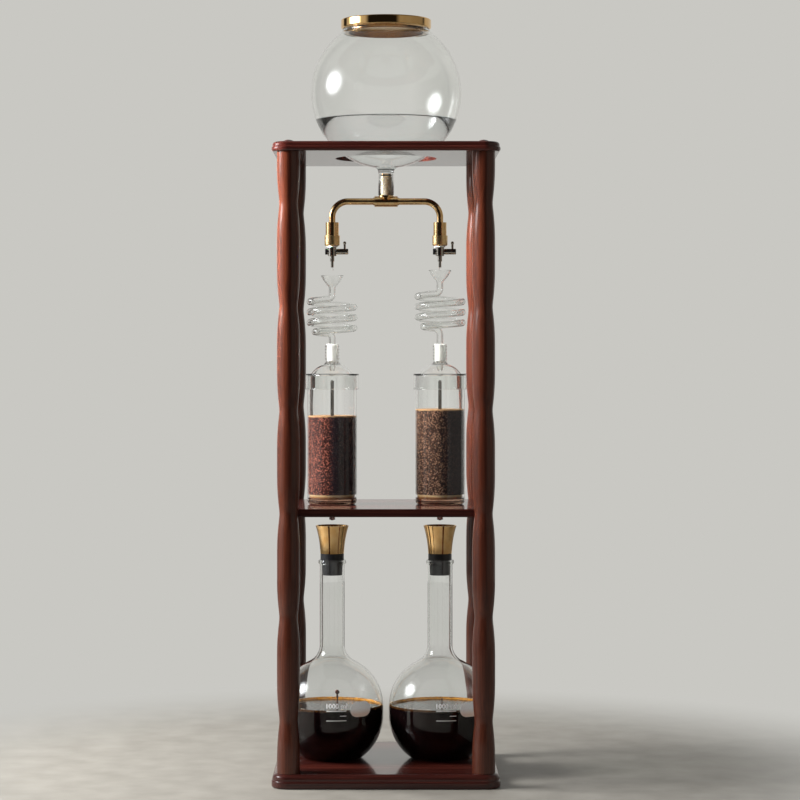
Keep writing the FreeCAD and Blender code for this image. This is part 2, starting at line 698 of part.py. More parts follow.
def cylinder_dome():
    """The glass dome that caps the cylinder, with a ridged neck for the coil's ground joint.

    Its flat shoulder rests on the cylinder's rim, and its skirt goes down around the cylinder."""
    inner_ball = dome_radius - dome_wall
    leave = flare_angle(dome_radius, neck_radius, dome_flare)
    bore_z = ball_z + math.sqrt(inner_ball ** 2 - neck_bore ** 2)
    bore_angle = math.degrees(math.acos(neck_bore / inner_ball))
    foot = math.degrees(math.asin(dome_sink / dome_radius))
    inner_foot = math.degrees(math.asin((cylinder_rim_z - ball_z) / inner_ball))
    skirt_middle = skirt_z + skirt_foot_rounding
    steps = [(skirt_bore, cylinder_rim_z), (skirt_bore, skirt_middle),
             arc(skirt_bore + skirt_foot_rounding, skirt_middle, skirt_foot_rounding, 180, 270),
             (skirt_radius - skirt_foot_rounding, skirt_z),
             arc(skirt_radius - skirt_foot_rounding, skirt_middle, skirt_foot_rounding, 270, 360),
             (skirt_radius, shoulder_z - skirt_rim_rounding),
             arc(skirt_radius - skirt_rim_rounding, shoulder_z - skirt_rim_rounding,
                 skirt_rim_rounding, 0, 90),
             (dome_radius * math.cos(math.radians(foot)), shoulder_z),
             arc(0, ball_z, dome_radius, foot, leave),
             arc(neck_radius + dome_flare, neck_z, dome_flare, 180 + leave, 180)]
    half_ridge = math.degrees(math.acos((ridge_radius - ridge_depth) / ridge_radius))
    half_width = ridge_radius * math.sin(math.radians(half_ridge))
    for ridge in range(ridge_count):
        ridge_z = neck_z + ridge_start + ridge_pitch * ridge
        steps.append((neck_radius, ridge_z - half_width))
        steps.append(arc(neck_radius - ridge_radius + ridge_depth, ridge_z, ridge_radius,
                         -half_ridge, half_ridge))
    steps += [(neck_radius, neck_top_z), (neck_bore, neck_top_z), (neck_bore, bore_z),
              arc(0, ball_z, inner_ball, bore_angle, inner_foot)]
    return turned(*steps)


def build_cylinders():
    cylinder = brew_cylinder()
    dome = cylinder_dome()
    rod_z = filter_z + filter_thickness - rod_seat_depth
    filter_disc = disc(filter_radius, filter_z, filter_z + filter_thickness)
    filter_disc = filter_disc.cut(disc(rod_radius, rod_z, filter_z + filter_thickness))
    rod = turned((0, rod_z), (rod_radius, rod_z), (rod_radius, rod_z + rod_length - rod_radius),
                 arc(0, rod_z + rod_length - rod_radius, rod_radius, 0, 90))
    pieces = {"brew_cylinder": cylinder, "cylinder_dome": dome, "filter_disc": filter_disc,
              "filter_rod": rod}
    for side, x in columns.items():
        for name, solid in pieces.items():
            save(name + "_" + side, moved(solid, x))


# ---- Glass coils ------------------------------------------------------------------------
def coil_route(side):
    """Points of a coil's tube from its cup down to the ground joint, about the column axis."""
    end_z = coil_end_z[side]
    start_z = coil_start_z[side]
    first_z = start_z + coil_pitch / 4
    points = [Vector(0, 0, cup_base_z[side]), Vector(0, 0, first_z)]
    points += [Vector(x * coil_radius, y * coil_radius, first_z + z * coil_pitch)
               for x, y, z in coil_lead_in]
    corner_radius = coil_radius / math.cos(math.pi / coil_steps)
    for step in range(int(coil_steps * coil_turns) + 1):
        angle = math.radians(coil_first_angle - 360 * step / coil_steps)
        points.append(Vector(corner_radius * math.cos(angle), corner_radius * math.sin(angle),
                             start_z - coil_pitch * step / coil_steps))
    points += [Vector(x * coil_radius, y * coil_radius, end_z + z * coil_pitch)
               for x, y, z in coil_lead_out]
    points.append(Vector(0, 0, cone_top_z))
    return points


def coil(side):
    """A glass coil in one piece: cup, turns, ground joint and drip tip."""
    path = rounded_path(coil_route(side))
    cup_z = cup_base_z[side]
    rim_z = cup_z + cup_height
    cone_z = cone_top_z - cone_length
    tip_z = cone_z - tip_drop

    def cup_fill(inset, extra):
        """Cup as a filled body: a bell that narrows to the tube."""
        tube = coil_tube_radius - inset
        rim = cup_rim_radius - inset
        flare = cup_flare + inset
        opening = arc(tube + flare, cup_z, flare, 180, 135)
        start_r, start_z = opening[1]
        middle = (start_r + cup_bulge * (rim - start_r), (start_z + rim_z) / 2)
        return turned((0, cup_z), (tube, cup_z), opening, (middle, (rim, rim_z)),
                      (rim, rim_z + extra), (0, rim_z + extra))

    joint = turned((0, tip_z), (tip_opening_radius + cup_wall, tip_z),
                   (coil_tube_radius, tip_z + coil_tube_radius), (coil_tube_radius, cone_z),
                   (cone_radius, cone_z), (cone_radius, cone_top_z), (0, cone_top_z))
    joint_bore = turned((0, tip_z - 1), (tip_opening_radius, tip_z - 1),
                        (tip_opening_radius, tip_z), (coil_bore_radius, tip_z + coil_tube_radius),
                        (coil_bore_radius, cone_top_z), (0, cone_top_z))
    outside = rod_along(path, coil_tube_radius).fuse(cup_fill(0, 0)).fuse(joint)
    inside = rod_along(path, coil_bore_radius).fuse(cup_fill(cup_wall, 1)).fuse(joint_bore)
    return outside.cut(inside)


def build_coils():
    for side, x in columns.items():
        save("coil_" + side, moved(coil(side), x))


# ---- Flasks, stoppers and funnels -------------------------------------------------------
def flask_fill(inset, low_z, top_z):
    """The flask as a filled body, drawn in by the wall for its inside."""
    ball = flask_radius - inset
    tube = flask_neck_radius - inset
    flare = flask_flare + inset
    corner = flask_corner - inset
    lower_z = base_thickness + flask_belly
    upper_z = lower_z + flask_belly_height
    corner_z = base_thickness + flask_corner
    corner_r = math.sqrt((flask_radius - flask_corner) ** 2 - (lower_z - corner_z) ** 2)
    tangent = math.degrees(math.atan2(corner_z - lower_z, corner_r))
    leave = flare_angle(ball, tube, flare)
    flare_z = upper_z + flare_height(ball, tube, flare)
    return turned((0, low_z), (corner_r, low_z),
                  arc(corner_r, corner_z, corner, -90, tangent),
                  arc(0, lower_z, ball, tangent, 0), (ball, upper_z),
                  arc(0, upper_z, ball, 0, leave),
                  arc(tube + flare, flare_z, flare, 180 + leave, 180),
                  (tube, top_z), (0, top_z))


def build_flasks():
    bead = flask_bead_radius - flask_neck_radius
    bead_z = flask_rim_z - flask_bead_height
    rim = turned((flask_bore, bead_z), (flask_neck_radius, bead_z),
                 ((flask_bead_radius, bead_z + flask_bead_height / 2),
                  (flask_neck_radius + bead / 2, flask_rim_z)),
                 (flask_bore, flask_rim_z))
    outside = flask_fill(0, base_thickness, flask_rim_z).fuse(rim)
    flask = outside.cut(flask_fill(flask_wall, base_thickness + flask_wall, flask_rim_z + 1))

    plug_top = flask_bore - loose_fit
    plug_bottom = plug_top - stopper_taper
    stopper_z = flask_rim_z - stopper_depth
    stopper = turned((spout_radius, stopper_z), (plug_bottom, stopper_z), (plug_top, flask_rim_z),
                     (stopper_radius, flask_rim_z), (stopper_radius, funnel_z),
                     (spout_radius, funnel_z))

    rim_z = funnel_z + funnel_height
    middle_z = funnel_z + funnel_height / 2
    middle = (funnel_base_radius + funnel_rim_radius) / 2 - funnel_hollow
    floor_z = funnel_z + funnel_floor
    spout_z = stopper_z + spout_inset
    funnel = turned((spout_bore_radius, spout_z), (spout_radius, spout_z),
                    (spout_radius, funnel_z), (funnel_base_radius, funnel_z),
                    ((middle, middle_z), (funnel_rim_radius, rim_z)),
                    (funnel_rim_radius - funnel_wall, rim_z),
                    ((middle - funnel_wall, middle_z),
                     (funnel_base_radius - 2 * funnel_wall, floor_z)),
                    (spout_bore_radius, floor_z - funnel_floor / 2))
    pieces = {"flask": flask, "stopper": stopper, "funnel": funnel}
    for side, x in columns.items():
        for name, solid in pieces.items():
            save(name + "_" + side, moved(solid, x))


build_frame()
build_bowl()
build_bowl_lid()
build_manifold()
build_cylinders()
build_coils()
build_flasks()
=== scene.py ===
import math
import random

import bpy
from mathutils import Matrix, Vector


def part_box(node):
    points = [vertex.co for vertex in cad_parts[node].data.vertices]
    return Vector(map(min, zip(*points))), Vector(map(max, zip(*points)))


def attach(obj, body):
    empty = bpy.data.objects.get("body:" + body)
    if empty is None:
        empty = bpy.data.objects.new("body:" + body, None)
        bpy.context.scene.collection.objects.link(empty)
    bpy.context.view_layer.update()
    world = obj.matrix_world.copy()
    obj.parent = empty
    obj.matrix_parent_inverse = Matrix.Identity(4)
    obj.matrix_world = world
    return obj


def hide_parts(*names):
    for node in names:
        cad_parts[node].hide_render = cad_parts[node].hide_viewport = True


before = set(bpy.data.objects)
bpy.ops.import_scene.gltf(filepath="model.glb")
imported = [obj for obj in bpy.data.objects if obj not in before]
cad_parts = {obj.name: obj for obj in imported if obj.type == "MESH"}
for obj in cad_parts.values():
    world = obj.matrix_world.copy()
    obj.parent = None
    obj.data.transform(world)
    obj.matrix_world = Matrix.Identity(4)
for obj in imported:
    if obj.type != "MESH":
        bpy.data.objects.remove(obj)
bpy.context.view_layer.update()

# %% [markdown]
# # A cold drip coffee tower
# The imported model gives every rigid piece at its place, so this lesson dresses it: light and
# camera, a finish for every material, and then what the tower holds, which is water, ground coffee
# and coffee. Lengths are written in millimetres and turned to metres by MM.

MM = 0.001
SIDES = ("left", "right")


def deselect():
    """Clears the selection, because an operator acts on all that is selected."""
    bpy.ops.object.select_all(action="DESELECT")


# %% [markdown]
# ## Camera
# The tower stands 3.2 m from the lens, which is a little above its middle and looks level, so the
# posts stay upright. A long lens keeps the perspective gentle, and a small shift frames the tower.

# %% Camera
CAMERA_DISTANCE = 3200.0
EYE_HEIGHT = 540.6
LENS = 112.4
SENSOR_WIDTH = 36.0
SHIFT_X = 0.0174
SHIFT_Y = -0.0633

deselect()
bpy.ops.object.camera_add(location=(0, -CAMERA_DISTANCE * MM, EYE_HEIGHT * MM),
                          rotation=(math.radians(90), 0, 0))
camera = bpy.context.object
camera.data.lens = LENS
camera.data.sensor_width = SENSOR_WIDTH
camera.data.shift_x = SHIFT_X
camera.data.shift_y = SHIFT_Y
bpy.context.scene.camera = camera
bpy.context.scene.view_settings.view_transform = "Standard"
print("Camera at", tuple(round(v, 3) for v in camera.location))

# %% [markdown]
# ## Helpers for every material
# Colours are picked as they look on a screen, in sRGB hex, and shaders work in linear light, so one
# function turns the first into the second. One function adds a node, sets it up and links it, and
# three small ones start a material, set its shader, and link it to the output.

# %% Colour and node helpers
def colour(code):
    """A linear RGBA colour from an sRGB hex code."""
    channels = [int(code[place:place + 2], 16) / 255 for place in (1, 3, 5)]
    linear = [c / 12.92 if c <= 0.04045 else ((c + 0.055) / 1.055) ** 2.4 for c in channels]
    return (*linear, 1.0)


def add(tree, kind, inputs=None, stops=None, **settings):
    """Adds a node. Inputs are values or sockets to link; stops are a ramp's (place, hex)."""
    node = tree.nodes.new("ShaderNode" + kind)
    for name, value in settings.items():
        setattr(node, name, value)
    for name, value in (inputs or {}).items():
        if isinstance(value, bpy.types.NodeSocket):
            tree.links.new(value, node.inputs[name])
        else:
            node.inputs[name].default_value = value
    for number, (place, code) in enumerate(stops or ()):
        elements = node.color_ramp.elements
        stop = elements[number] if number < 2 else elements.new(place)
        stop.position = place
        stop.color = colour(code)
    return node


def new_material(name):
    """A new material with a Principled shader, and its tree, shader and coordinates."""
    material = bpy.data.materials.new(name)
    material.use_nodes = True
    tree = material.node_tree
    tree.nodes.clear()
    shader = add(tree, "BsdfPrincipled")
    add(tree, "OutputMaterial", {"Surface": shader.outputs["BSDF"]})
    where = add(tree, "TexCoord").outputs["Object"]
    return material, tree, shader, where


def feed(tree, shader, **inputs):
    """Sets or links the shader's sockets; an underscore in a name stands for a space."""
    for name, value in inputs.items():
        socket = shader.inputs[name.replace("_", " ")]
        if isinstance(value, bpy.types.NodeSocket):
            tree.links.new(value, socket)
        else:
            socket.default_value = value


def show(tree, surface, volume=None):
    """Links what a material shows, and what fills it, to its output."""
    output = next(node for node in tree.nodes if node.type == "OUTPUT_MATERIAL")
    tree.links.new(surface, output.inputs["Surface"])
    if volume:
        tree.links.new(volume, output.inputs["Volume"])


print("Helpers ready; mid grey #808080 is", round(colour("#808080")[0], 3), "in linear light")

# %% [markdown]
# ## The room around
# The world shows one pale wall colour to the camera and through glass, much dimmer to the sides and
# below, where the light comes in at a bend. Matt surfaces get more light from that wall than from
# the dark room in front of it. What a mirror sees matters more than its colour: gold looks like
# gold when bright and dark bands stand side by side. So mirror rays see a ring of room, from the
# wall behind past a bright left side to a dark front.

# %% World
WALL = "#C9C8C3"
WALL_IN_GLASS = "#D4D3CE"   # a shade lighter, for what four glass surfaces reflect away
SIDE_GLIMPSE = "#403E3B"    # what bent rays see at the sides and below
AMBIENT_FRONT = 0.16        # light on matt surfaces from the room in front
AMBIENT_BACK = 0.56         # and from the wall behind
OVERHEAD = (0.45, 0.95)     # how far up mirror rays go from the ring to a dim ceiling
BENT = (0.66, 0.95)         # how far sideways or down rays through glass turn dim
WALL_SPAN = 0.8             # how far the light turns from the room's to the wall's
ROOM_RING = (               # share of a turn from the middle of the wall, by way of the left
    (0.00, "#D6D5D0"), (0.11, "#CFCDC7"), (0.125, "#2C2A28"), (0.16, "#2C2A28"),
    (0.175, "#C8C7C2"), (0.345, "#C8C7C2"), (0.375, "#1B1918"), (0.57, "#1B1918"),
    (0.60, "#958F83"), (0.79, "#858077"), (0.81, "#2C2A28"), (0.83, "#B9B6AE"), (1.00, "#D6D5D0"))

world = bpy.data.worlds.new("studio")
bpy.context.scene.world = world
world.use_nodes = True
sky = world.node_tree
sky.nodes.clear()
direction = add(sky, "TexCoord").outputs["Generated"]
split = add(sky, "SeparateXYZ", {"Vector": direction})
ahead = add(sky, "Math", {0: split.outputs["Y"], 1: -1.0}, operation="MULTIPLY")
turn = add(sky, "Math", {0: split.outputs["X"], 1: ahead.outputs[0]}, operation="ARCTAN2")
share = add(sky, "MapRange", {"Value": turn.outputs[0], "From Min": -math.pi, "From Max": math.pi})
ring = add(sky, "ValToRGB", {"Fac": share.outputs["Result"]}, stops=ROOM_RING)
overhead = add(sky, "MapRange", {"Value": split.outputs["Z"], "From Min": OVERHEAD[0],
                                 "From Max": OVERHEAD[1]})
mirrored = add(sky, "Mix", {0: overhead.outputs["Result"], 6: ring.outputs["Color"],
                            7: colour(SIDE_GLIMPSE)}, data_type="RGBA")
sideways = add(sky, "Math", {0: split.outputs["X"]}, operation="ABSOLUTE")
downward = add(sky, "Math", {0: split.outputs["Z"], 1: -1.0}, operation="MULTIPLY")
most = add(sky, "Math", {0: sideways.outputs[0], 1: downward.outputs[0]}, operation="MAXIMUM")
bent = add(sky, "MapRange", {"Value": most.outputs[0], "From Min": BENT[0], "From Max": BENT[1]})
through = add(sky, "Mix", {0: bent.outputs["Result"], 6: colour(WALL_IN_GLASS),
                           7: colour(SIDE_GLIMPSE)}, data_type="RGBA")
ambient = add(sky, "MapRange", {"Value": split.outputs["Y"], "From Min": -WALL_SPAN,
                                "From Max": WALL_SPAN, "To Min": AMBIENT_FRONT,
                                "To Max": AMBIENT_BACK})
rays = add(sky, "LightPath")
lit = add(sky, "Mix", {0: rays.outputs["Is Glossy Ray"], 6: ambient.outputs["Result"],
                       7: mirrored.outputs[2]}, data_type="RGBA")
in_glass = add(sky, "Mix", {0: rays.outputs["Is Transmission Ray"], 6: lit.outputs[2],
                            7: through.outputs[2]}, data_type="RGBA")
shown = add(sky, "Mix", {0: rays.outputs["Is Camera Ray"], 6: in_glass.outputs[2],
                         7: colour(WALL)}, data_type="RGBA")
background = add(sky, "Background", {"Color": shown.outputs[2], "Strength": 1.0})
add(sky, "OutputWorld", {"Surface": background.outputs[0]})
print("World: wall", WALL, "and a ring of", len(ROOM_RING), "tones")

# %% [markdown]
# ## Light
# One window to the left, soft as behind a thin curtain, shows in glass and lacquer. Daylight from
# the same side, too wide to show as a shape, lights the matt surfaces. A narrow sunbeam adds to it
# on the upper half of the tower, and a weak panel at the right keeps the other side readable. Area
# lights give soft shadows, and all but the window are hidden from mirrors and glass.

# %% Window, daylight, sunbeam and fill
AIM = Vector((0, 0, 560)) * MM          # about the middle of the tower
AIM_HIGH = Vector((0, 0, 740)) * MM     # the middle of its upper half
CURTAIN_FADE = (0.1, 0.48)              # shares of the window's width, from its middle


def panel(name, way, distance, width, height, watts, aim=AIM, spread=180.0):
    """A round soft panel that stands in a direction from the tower and faces it."""
    deselect()
    place = aim + Vector(way).normalized() * distance * MM
    bpy.ops.object.light_add(type="AREA", location=place)
    light = bpy.context.object
    light.name = name
    light.data.shape = "ELLIPSE"
    light.data.size = width * MM
    light.data.size_y = height * MM
    light.data.energy = watts
    light.data.spread = math.radians(spread)
    light.rotation_euler = (aim - place).to_track_quat("-Z", "Y").to_euler()
    return light


def curtain(light):
    """Lets a panel fade from its middle to its edge."""
    light.data.use_nodes = True
    tree = light.data.node_tree
    tree.nodes.clear()
    across = add(tree, "NewGeometry").outputs["Parametric"]
    middle = add(tree, "VectorMath", {0: across, 1: (0.5, 0.5, 0.0)}, operation="SUBTRACT")
    reach = add(tree, "VectorMath", {0: middle.outputs[0]}, operation="LENGTH")
    fade = add(tree, "MapRange", {"Value": reach.outputs["Value"], "From Min": CURTAIN_FADE[0],
                                  "From Max": CURTAIN_FADE[1], "To Min": 1.0, "To Max": 0.0},
               interpolation_type="SMOOTHSTEP")
    softer = add(tree, "Math", {0: fade.outputs["Result"], 1: 2.0}, operation="POWER")
    glow = add(tree, "Emission", {"Color": colour("#FAFCFF"), "Strength": softer.outputs[0]})
    add(tree, "OutputLight", {"Surface": glow.outputs["Emission"]})


window = panel("window", way=(-0.94, -0.05, 0.33), distance=2100, width=1900, height=1500,
               watts=120)
curtain(window)
daylight = panel("daylight", way=(-0.93, -0.10, 0.36), distance=1250, width=900, height=900,
                 watts=50)
sunbeam = panel("sunbeam", way=(-0.97, -0.10, 0.22), distance=1400, width=300, height=300,
                watts=5.8, aim=AIM_HIGH, spread=32)
fill = panel("fill", way=(0.75, -0.60, 0.25), distance=2600, width=1200, height=1600, watts=4)
for light in (daylight, sunbeam, fill):
    light.visible_glossy = False
    light.visible_transmission = False

# %% [markdown]
# ## Floor
# A pale stone top carries the tower. It is a round slab that fades into the wall's colour with the
# distance, so it keeps the tower's shadow and has no hard edge in any view.

# %% Floor
FLOOR_RADIUS = 2600.0
FLOOR_CLEAR = 380.0         # full floor colour inside this radius
FLOOR_FADE = 820.0          # only the wall's colour outside this one


def stone_floor():
    material, tree, shader, where = new_material("honed_stone_floor")
    grain = add(tree, "TexNoise", {"Vector": where, "Scale": 1 / (45 * MM), "Detail": 8.0})
    tone = add(tree, "ValToRGB", {"Fac": grain.outputs["Fac"]},
               stops=((0.3, "#7E7A72"), (0.7, "#8D8981")))
    feed(tree, shader, Base_Color=tone.outputs["Color"], Roughness=0.55)
    glow = add(tree, "Emission", {"Color": colour(WALL), "Strength": 1.0})
    reach = add(tree, "VectorMath", {0: where}, operation="LENGTH")
    fade = add(tree, "MapRange", {"Value": reach.outputs["Value"], "From Min": FLOOR_CLEAR * MM,
                                  "From Max": FLOOR_FADE * MM}, interpolation_type="SMOOTHSTEP")
    rays = add(tree, "LightPath")
    seen_ray = add(tree, "Math", {0: rays.outputs["Is Camera Ray"],
                                  1: rays.outputs["Is Transmission Ray"]}, operation="MAXIMUM")
    share = add(tree, "Math", {0: seen_ray.outputs[0], 1: fade.outputs["Result"]},
                operation="MULTIPLY")
    both = add(tree, "MixShader", {0: share.outputs[0], 1: shader.outputs["BSDF"],
                                   2: glow.outputs["Emission"]})
    show(tree, both.outputs[0])
    return material


deselect()
bpy.ops.mesh.primitive_circle_add(vertices=96, radius=FLOOR_RADIUS * MM, fill_type="NGON")
floor = bpy.context.object
floor.name = "floor"
floor.data.materials.append(stone_floor())
print("Floor", floor.dimensions.x, "m across")

# %% [markdown]
# ## Lacquered hardwood
# The frame is turned and planed hardwood, stained mahogany red and sprayed with clear lacquer. The
# stain sinks in along the fibres, so the tone runs in fine streaks along each piece, and the
# lacquer above it is smooth. That is a base with stretched noise under a glossy coat.

# %% Lacquered hardwood
FIBRE_WIDTH = 1.6           # drawn coarser than real pores, which would not show
FIBRE_LENGTH = 70.0
BROAD_STREAK = 14           # a broad streak is this many fibres wide and long


def lacquered_wood(name, along, dark, middle, light, coat):
    material, tree, shader, where = new_material(name)
    across = 1 / (FIBRE_WIDTH * MM)
    stretch = [1 / (FIBRE_LENGTH * MM) if axis == along else across for axis in "XYZ"]
    fibres_at = add(tree, "Mapping", {"Vector": where, "Scale": stretch})
    fibres = add(tree, "TexNoise", {"Vector": fibres_at.outputs[0], "Scale": 1.0, "Detail": 6.0,
                                    "Roughness": 0.62})
    broad_at = add(tree, "Mapping", {"Vector": where, "Scale": [s / BROAD_STREAK for s in stretch]})
    broad = add(tree, "TexNoise", {"Vector": broad_at.outputs[0], "Scale": 1.0, "Detail": 3.0,
                                   "Distortion": 0.6})
    streaks = add(tree, "Math", {0: fibres.outputs["Fac"], 1: broad.outputs["Fac"]},
                  operation="ADD")
    halved = add(tree, "Math", {0: streaks.outputs[0], 1: 0.5}, operation="MULTIPLY")
    stain = add(tree, "ValToRGB", {"Fac": halved.outputs[0]},
                stops=((0.36, dark), (0.64, light), (0.5, middle)))
    grain = add(tree, "Bump", {"Height": fibres.outputs["Fac"], "Strength": 0.12,
                               "Distance": 0.15 * MM})
    feed(tree, shader, Base_Color=stain.outputs["Color"], Roughness=0.5, Specular_IOR_Level=0.2,
         Normal=grain.outputs[0], Coat_Weight=coat, Coat_Roughness=0.08, Coat_IOR=1.5)
    return material


upright_wood = lacquered_wood("lacquered_mahogany_upright", "Z", "#34150C", "#472013", "#5A2B1A",
                              coat=0.6)
# Painted shade: the boards and shelf take a darker copy of the same stain.
flat_wood = lacquered_wood("lacquered_mahogany_flat", "X", "#260A09", "#38140F", "#50221A",
                           coat=0.75)
print("Wood:", upright_wood.name, flat_wood.name)

# %% [markdown]
# ## Glass
# All the glassware is blown borosilicate. It is clear, with slow waves in its wall from the
# blowing, which bend a highlight a little. A wall seen edge on is many times thicker than one seen
# flat, so a weak absorption in the glass draws the dark outline that clear glass has in every view.
# The coils have a ground joint: there the surface is frosted white, and light that enters it
# spreads. Lamps reach what stands behind real glass, so for shadow rays all clear materials here
# are nearly transparent.

# %% Glass
def let_lamps_through(tree, shader, volume=None):
    """Puts a transparent shader in for shadow rays, so that lamps reach what is behind."""
    clear = add(tree, "BsdfTransparent", {"Color": colour("#FAFBFA")})
    ray = add(tree, "LightPath")
    both = add(tree, "MixShader", {0: ray.outputs["Is Shadow Ray"], 1: shader.outputs["BSDF"],
                                   2: clear.outputs["BSDF"]})
    show(tree, both.outputs[0], volume)


def blown_glass(name, wave, relief, density, frost=None):
    """Clear glass; frost is the lowest and highest place of a ground joint, in millimetres.

    The density is per metre and sets how dark the outline gets. The thin coils need the most."""
    material, tree, shader, where = new_material(name)
    waves = add(tree, "TexNoise", {"Vector": where, "Scale": 1 / (wave * MM), "Detail": 1.0})
    swell = add(tree, "Bump", {"Height": waves.outputs["Fac"], "Strength": relief,
                               "Distance": 0.3 * MM})
    tint = add(tree, "ValToRGB", {"Fac": waves.outputs["Fac"]},
               stops=((0.35, "#FDFEFD"), (0.65, "#FFFFFF")))
    feed(tree, shader, Base_Color=tint.outputs["Color"], Roughness=0.0, IOR=1.473,
         Transmission_Weight=1.0, Normal=swell.outputs[0])
    thick = add(tree, "VolumeAbsorption", {"Color": colour("#C9CCC8"), "Density": density})
    let_lamps_through(tree, shader, thick.outputs["Volume"])
    if frost:
        low, high = frost
        place = add(tree, "SeparateXYZ", {"Vector": where})
        above = add(tree, "Math", {0: place.outputs["Z"], 1: low * MM}, operation="GREATER_THAN")
        below = add(tree, "Math", {0: place.outputs["Z"], 1: high * MM}, operation="LESS_THAN")
        ground = add(tree, "Math", {0: above.outputs[0], 1: below.outputs[0]},
                     operation="MULTIPLY")
        sparkle = add(tree, "TexNoise", {"Vector": where, "Scale": 1 / (0.8 * MM)})
        rough = add(tree, "MapRange", {"Value": sparkle.outputs["Fac"], "To Min": 0.4,
                                       "To Max": 0.7})
        frosted = add(tree, "Math", {0: ground.outputs[0], 1: rough.outputs["Result"]},
                      operation="MULTIPLY")
        clear = add(tree, "MapRange", {"Value": ground.outputs[0], "To Min": 1.0, "To Max": 0.25})
        powder = add(tree, "Mix", {0: ground.outputs[0], 6: tint.outputs["Color"],
                                   7: colour("#DFDDDB")}, data_type="RGBA")
        feed(tree, shader, Base_Color=powder.outputs[2],
             Roughness=frosted.outputs[0], Transmission_Weight=clear.outputs["Result"],
             Subsurface_Weight=ground.outputs[0], Subsurface_Radius=(1.0, 1.0, 1.0),
             Subsurface_Scale=6.0 * MM)
    return material


JOINT_LENGTH = 22.0
JOINT_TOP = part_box("cylinder_dome_left")[1].z / MM + 0.4    # the frost ends just above the neck
JOINT_BOTTOM = JOINT_TOP - JOINT_LENGTH
bowl_glass = blown_glass("borosilicate_bowl", wave=90.0, relief=0.15, density=30.0)
flask_glass = blown_glass("borosilicate_flask", wave=60.0, relief=0.12, density=60.0)
tube_glass = blown_glass("borosilicate_tube", wave=40.0, relief=0.08, density=9.0)
coil_glass = blown_glass("borosilicate_coil", wave=25.0, relief=0.06, density=70.0,
                         frost=(JOINT_BOTTOM, JOINT_TOP))
print("Ground joint frosted from", round(JOINT_BOTTOM, 1), "to", round(JOINT_TOP, 1), "mm")

# %% [markdown]
# ## Metals
# The lid and funnels are brass, polished and gold plated, so they are nearly mirrors. The valves
# are bright nickel, the filter rods dark stainless steel, and the screws zinc plated. A metal is a
# mirror with a colour; slow noise in its roughness stands for handling and polishing marks. The
# manifold has a satin polish, and its union nuts are brushed, so they show softer stripes.

# %% Metals
def polished_metal(name, dark, light, smooth, rough, mark=9.0, bump=0.0):
    """A metal whose colour and roughness wander between two values over marks of that size."""
    material, tree, shader, where = new_material(name)
    marks = add(tree, "TexNoise", {"Vector": where, "Scale": 1 / (mark * MM), "Detail": 5.0})
    tone = add(tree, "ValToRGB", {"Fac": marks.outputs["Fac"]}, stops=((0.3, dark), (0.7, light)))
    haze = add(tree, "MapRange", {"Value": marks.outputs["Fac"], "From Min": 0.3, "From Max": 0.7,
                                  "To Min": smooth, "To Max": rough})
    dents = add(tree, "Bump", {"Height": marks.outputs["Fac"], "Strength": bump,
                               "Distance": 0.1 * MM})
    feed(tree, shader, Base_Color=tone.outputs["Color"], Metallic=1.0,
         Roughness=haze.outputs["Result"], Normal=dents.outputs[0])
    return material


gold_plate = polished_metal("gold_plated_brass", "#E0B070", "#F0CB93", 0.05, 0.10, bump=0.02)
satin_gold = polished_metal("satin_gold_plated_brass", "#E2B47C", "#F6D8A4", 0.12, 0.18, mark=5.0)
brushed_gold = polished_metal("brushed_gold_plated_brass", "#E0B67C", "#F6DCA8", 0.30, 0.38,
                              mark=3.0)
nickel_plate = polished_metal("bright_nickel_plate", "#9C9790", "#B5B1AB", 0.10, 0.18, mark=3.0)
dark_steel = polished_metal("dark_stainless_rod", "#5E5853", "#7B746D", 0.14, 0.24, mark=4.0)
zinc_steel = polished_metal("zinc_plated_steel", "#A3A5A8", "#BFC1C4", 0.25, 0.4, mark=2.0)
print("Metals:", gold_plate.name, nickel_plate.name, dark_steel.name, zinc_steel.name)

# %% [markdown]
# ## The lid's two finishes, and painted light in its hollow
# The lid is polished above and at its edge. In the hollow underneath, the ceiling is brushed and
# painted pale, as painted light against the dim, orange light that bounces there, and the collar
# around it is polished and painted a darker brown, as painted shade. One material holds all this
# and tells the zones apart by place: how far a point is from the lid's axis, and whether it is
# below the top of the hollow.

# %% Lid material
LID_COLLAR = 50.3           # outer radius of the collar
LID_CEILING = 47.9          # the ceiling is brushed out to here, and the collar is bright
LID_HOLLOW = 8.2            # lower end of the collar to just above the ceiling


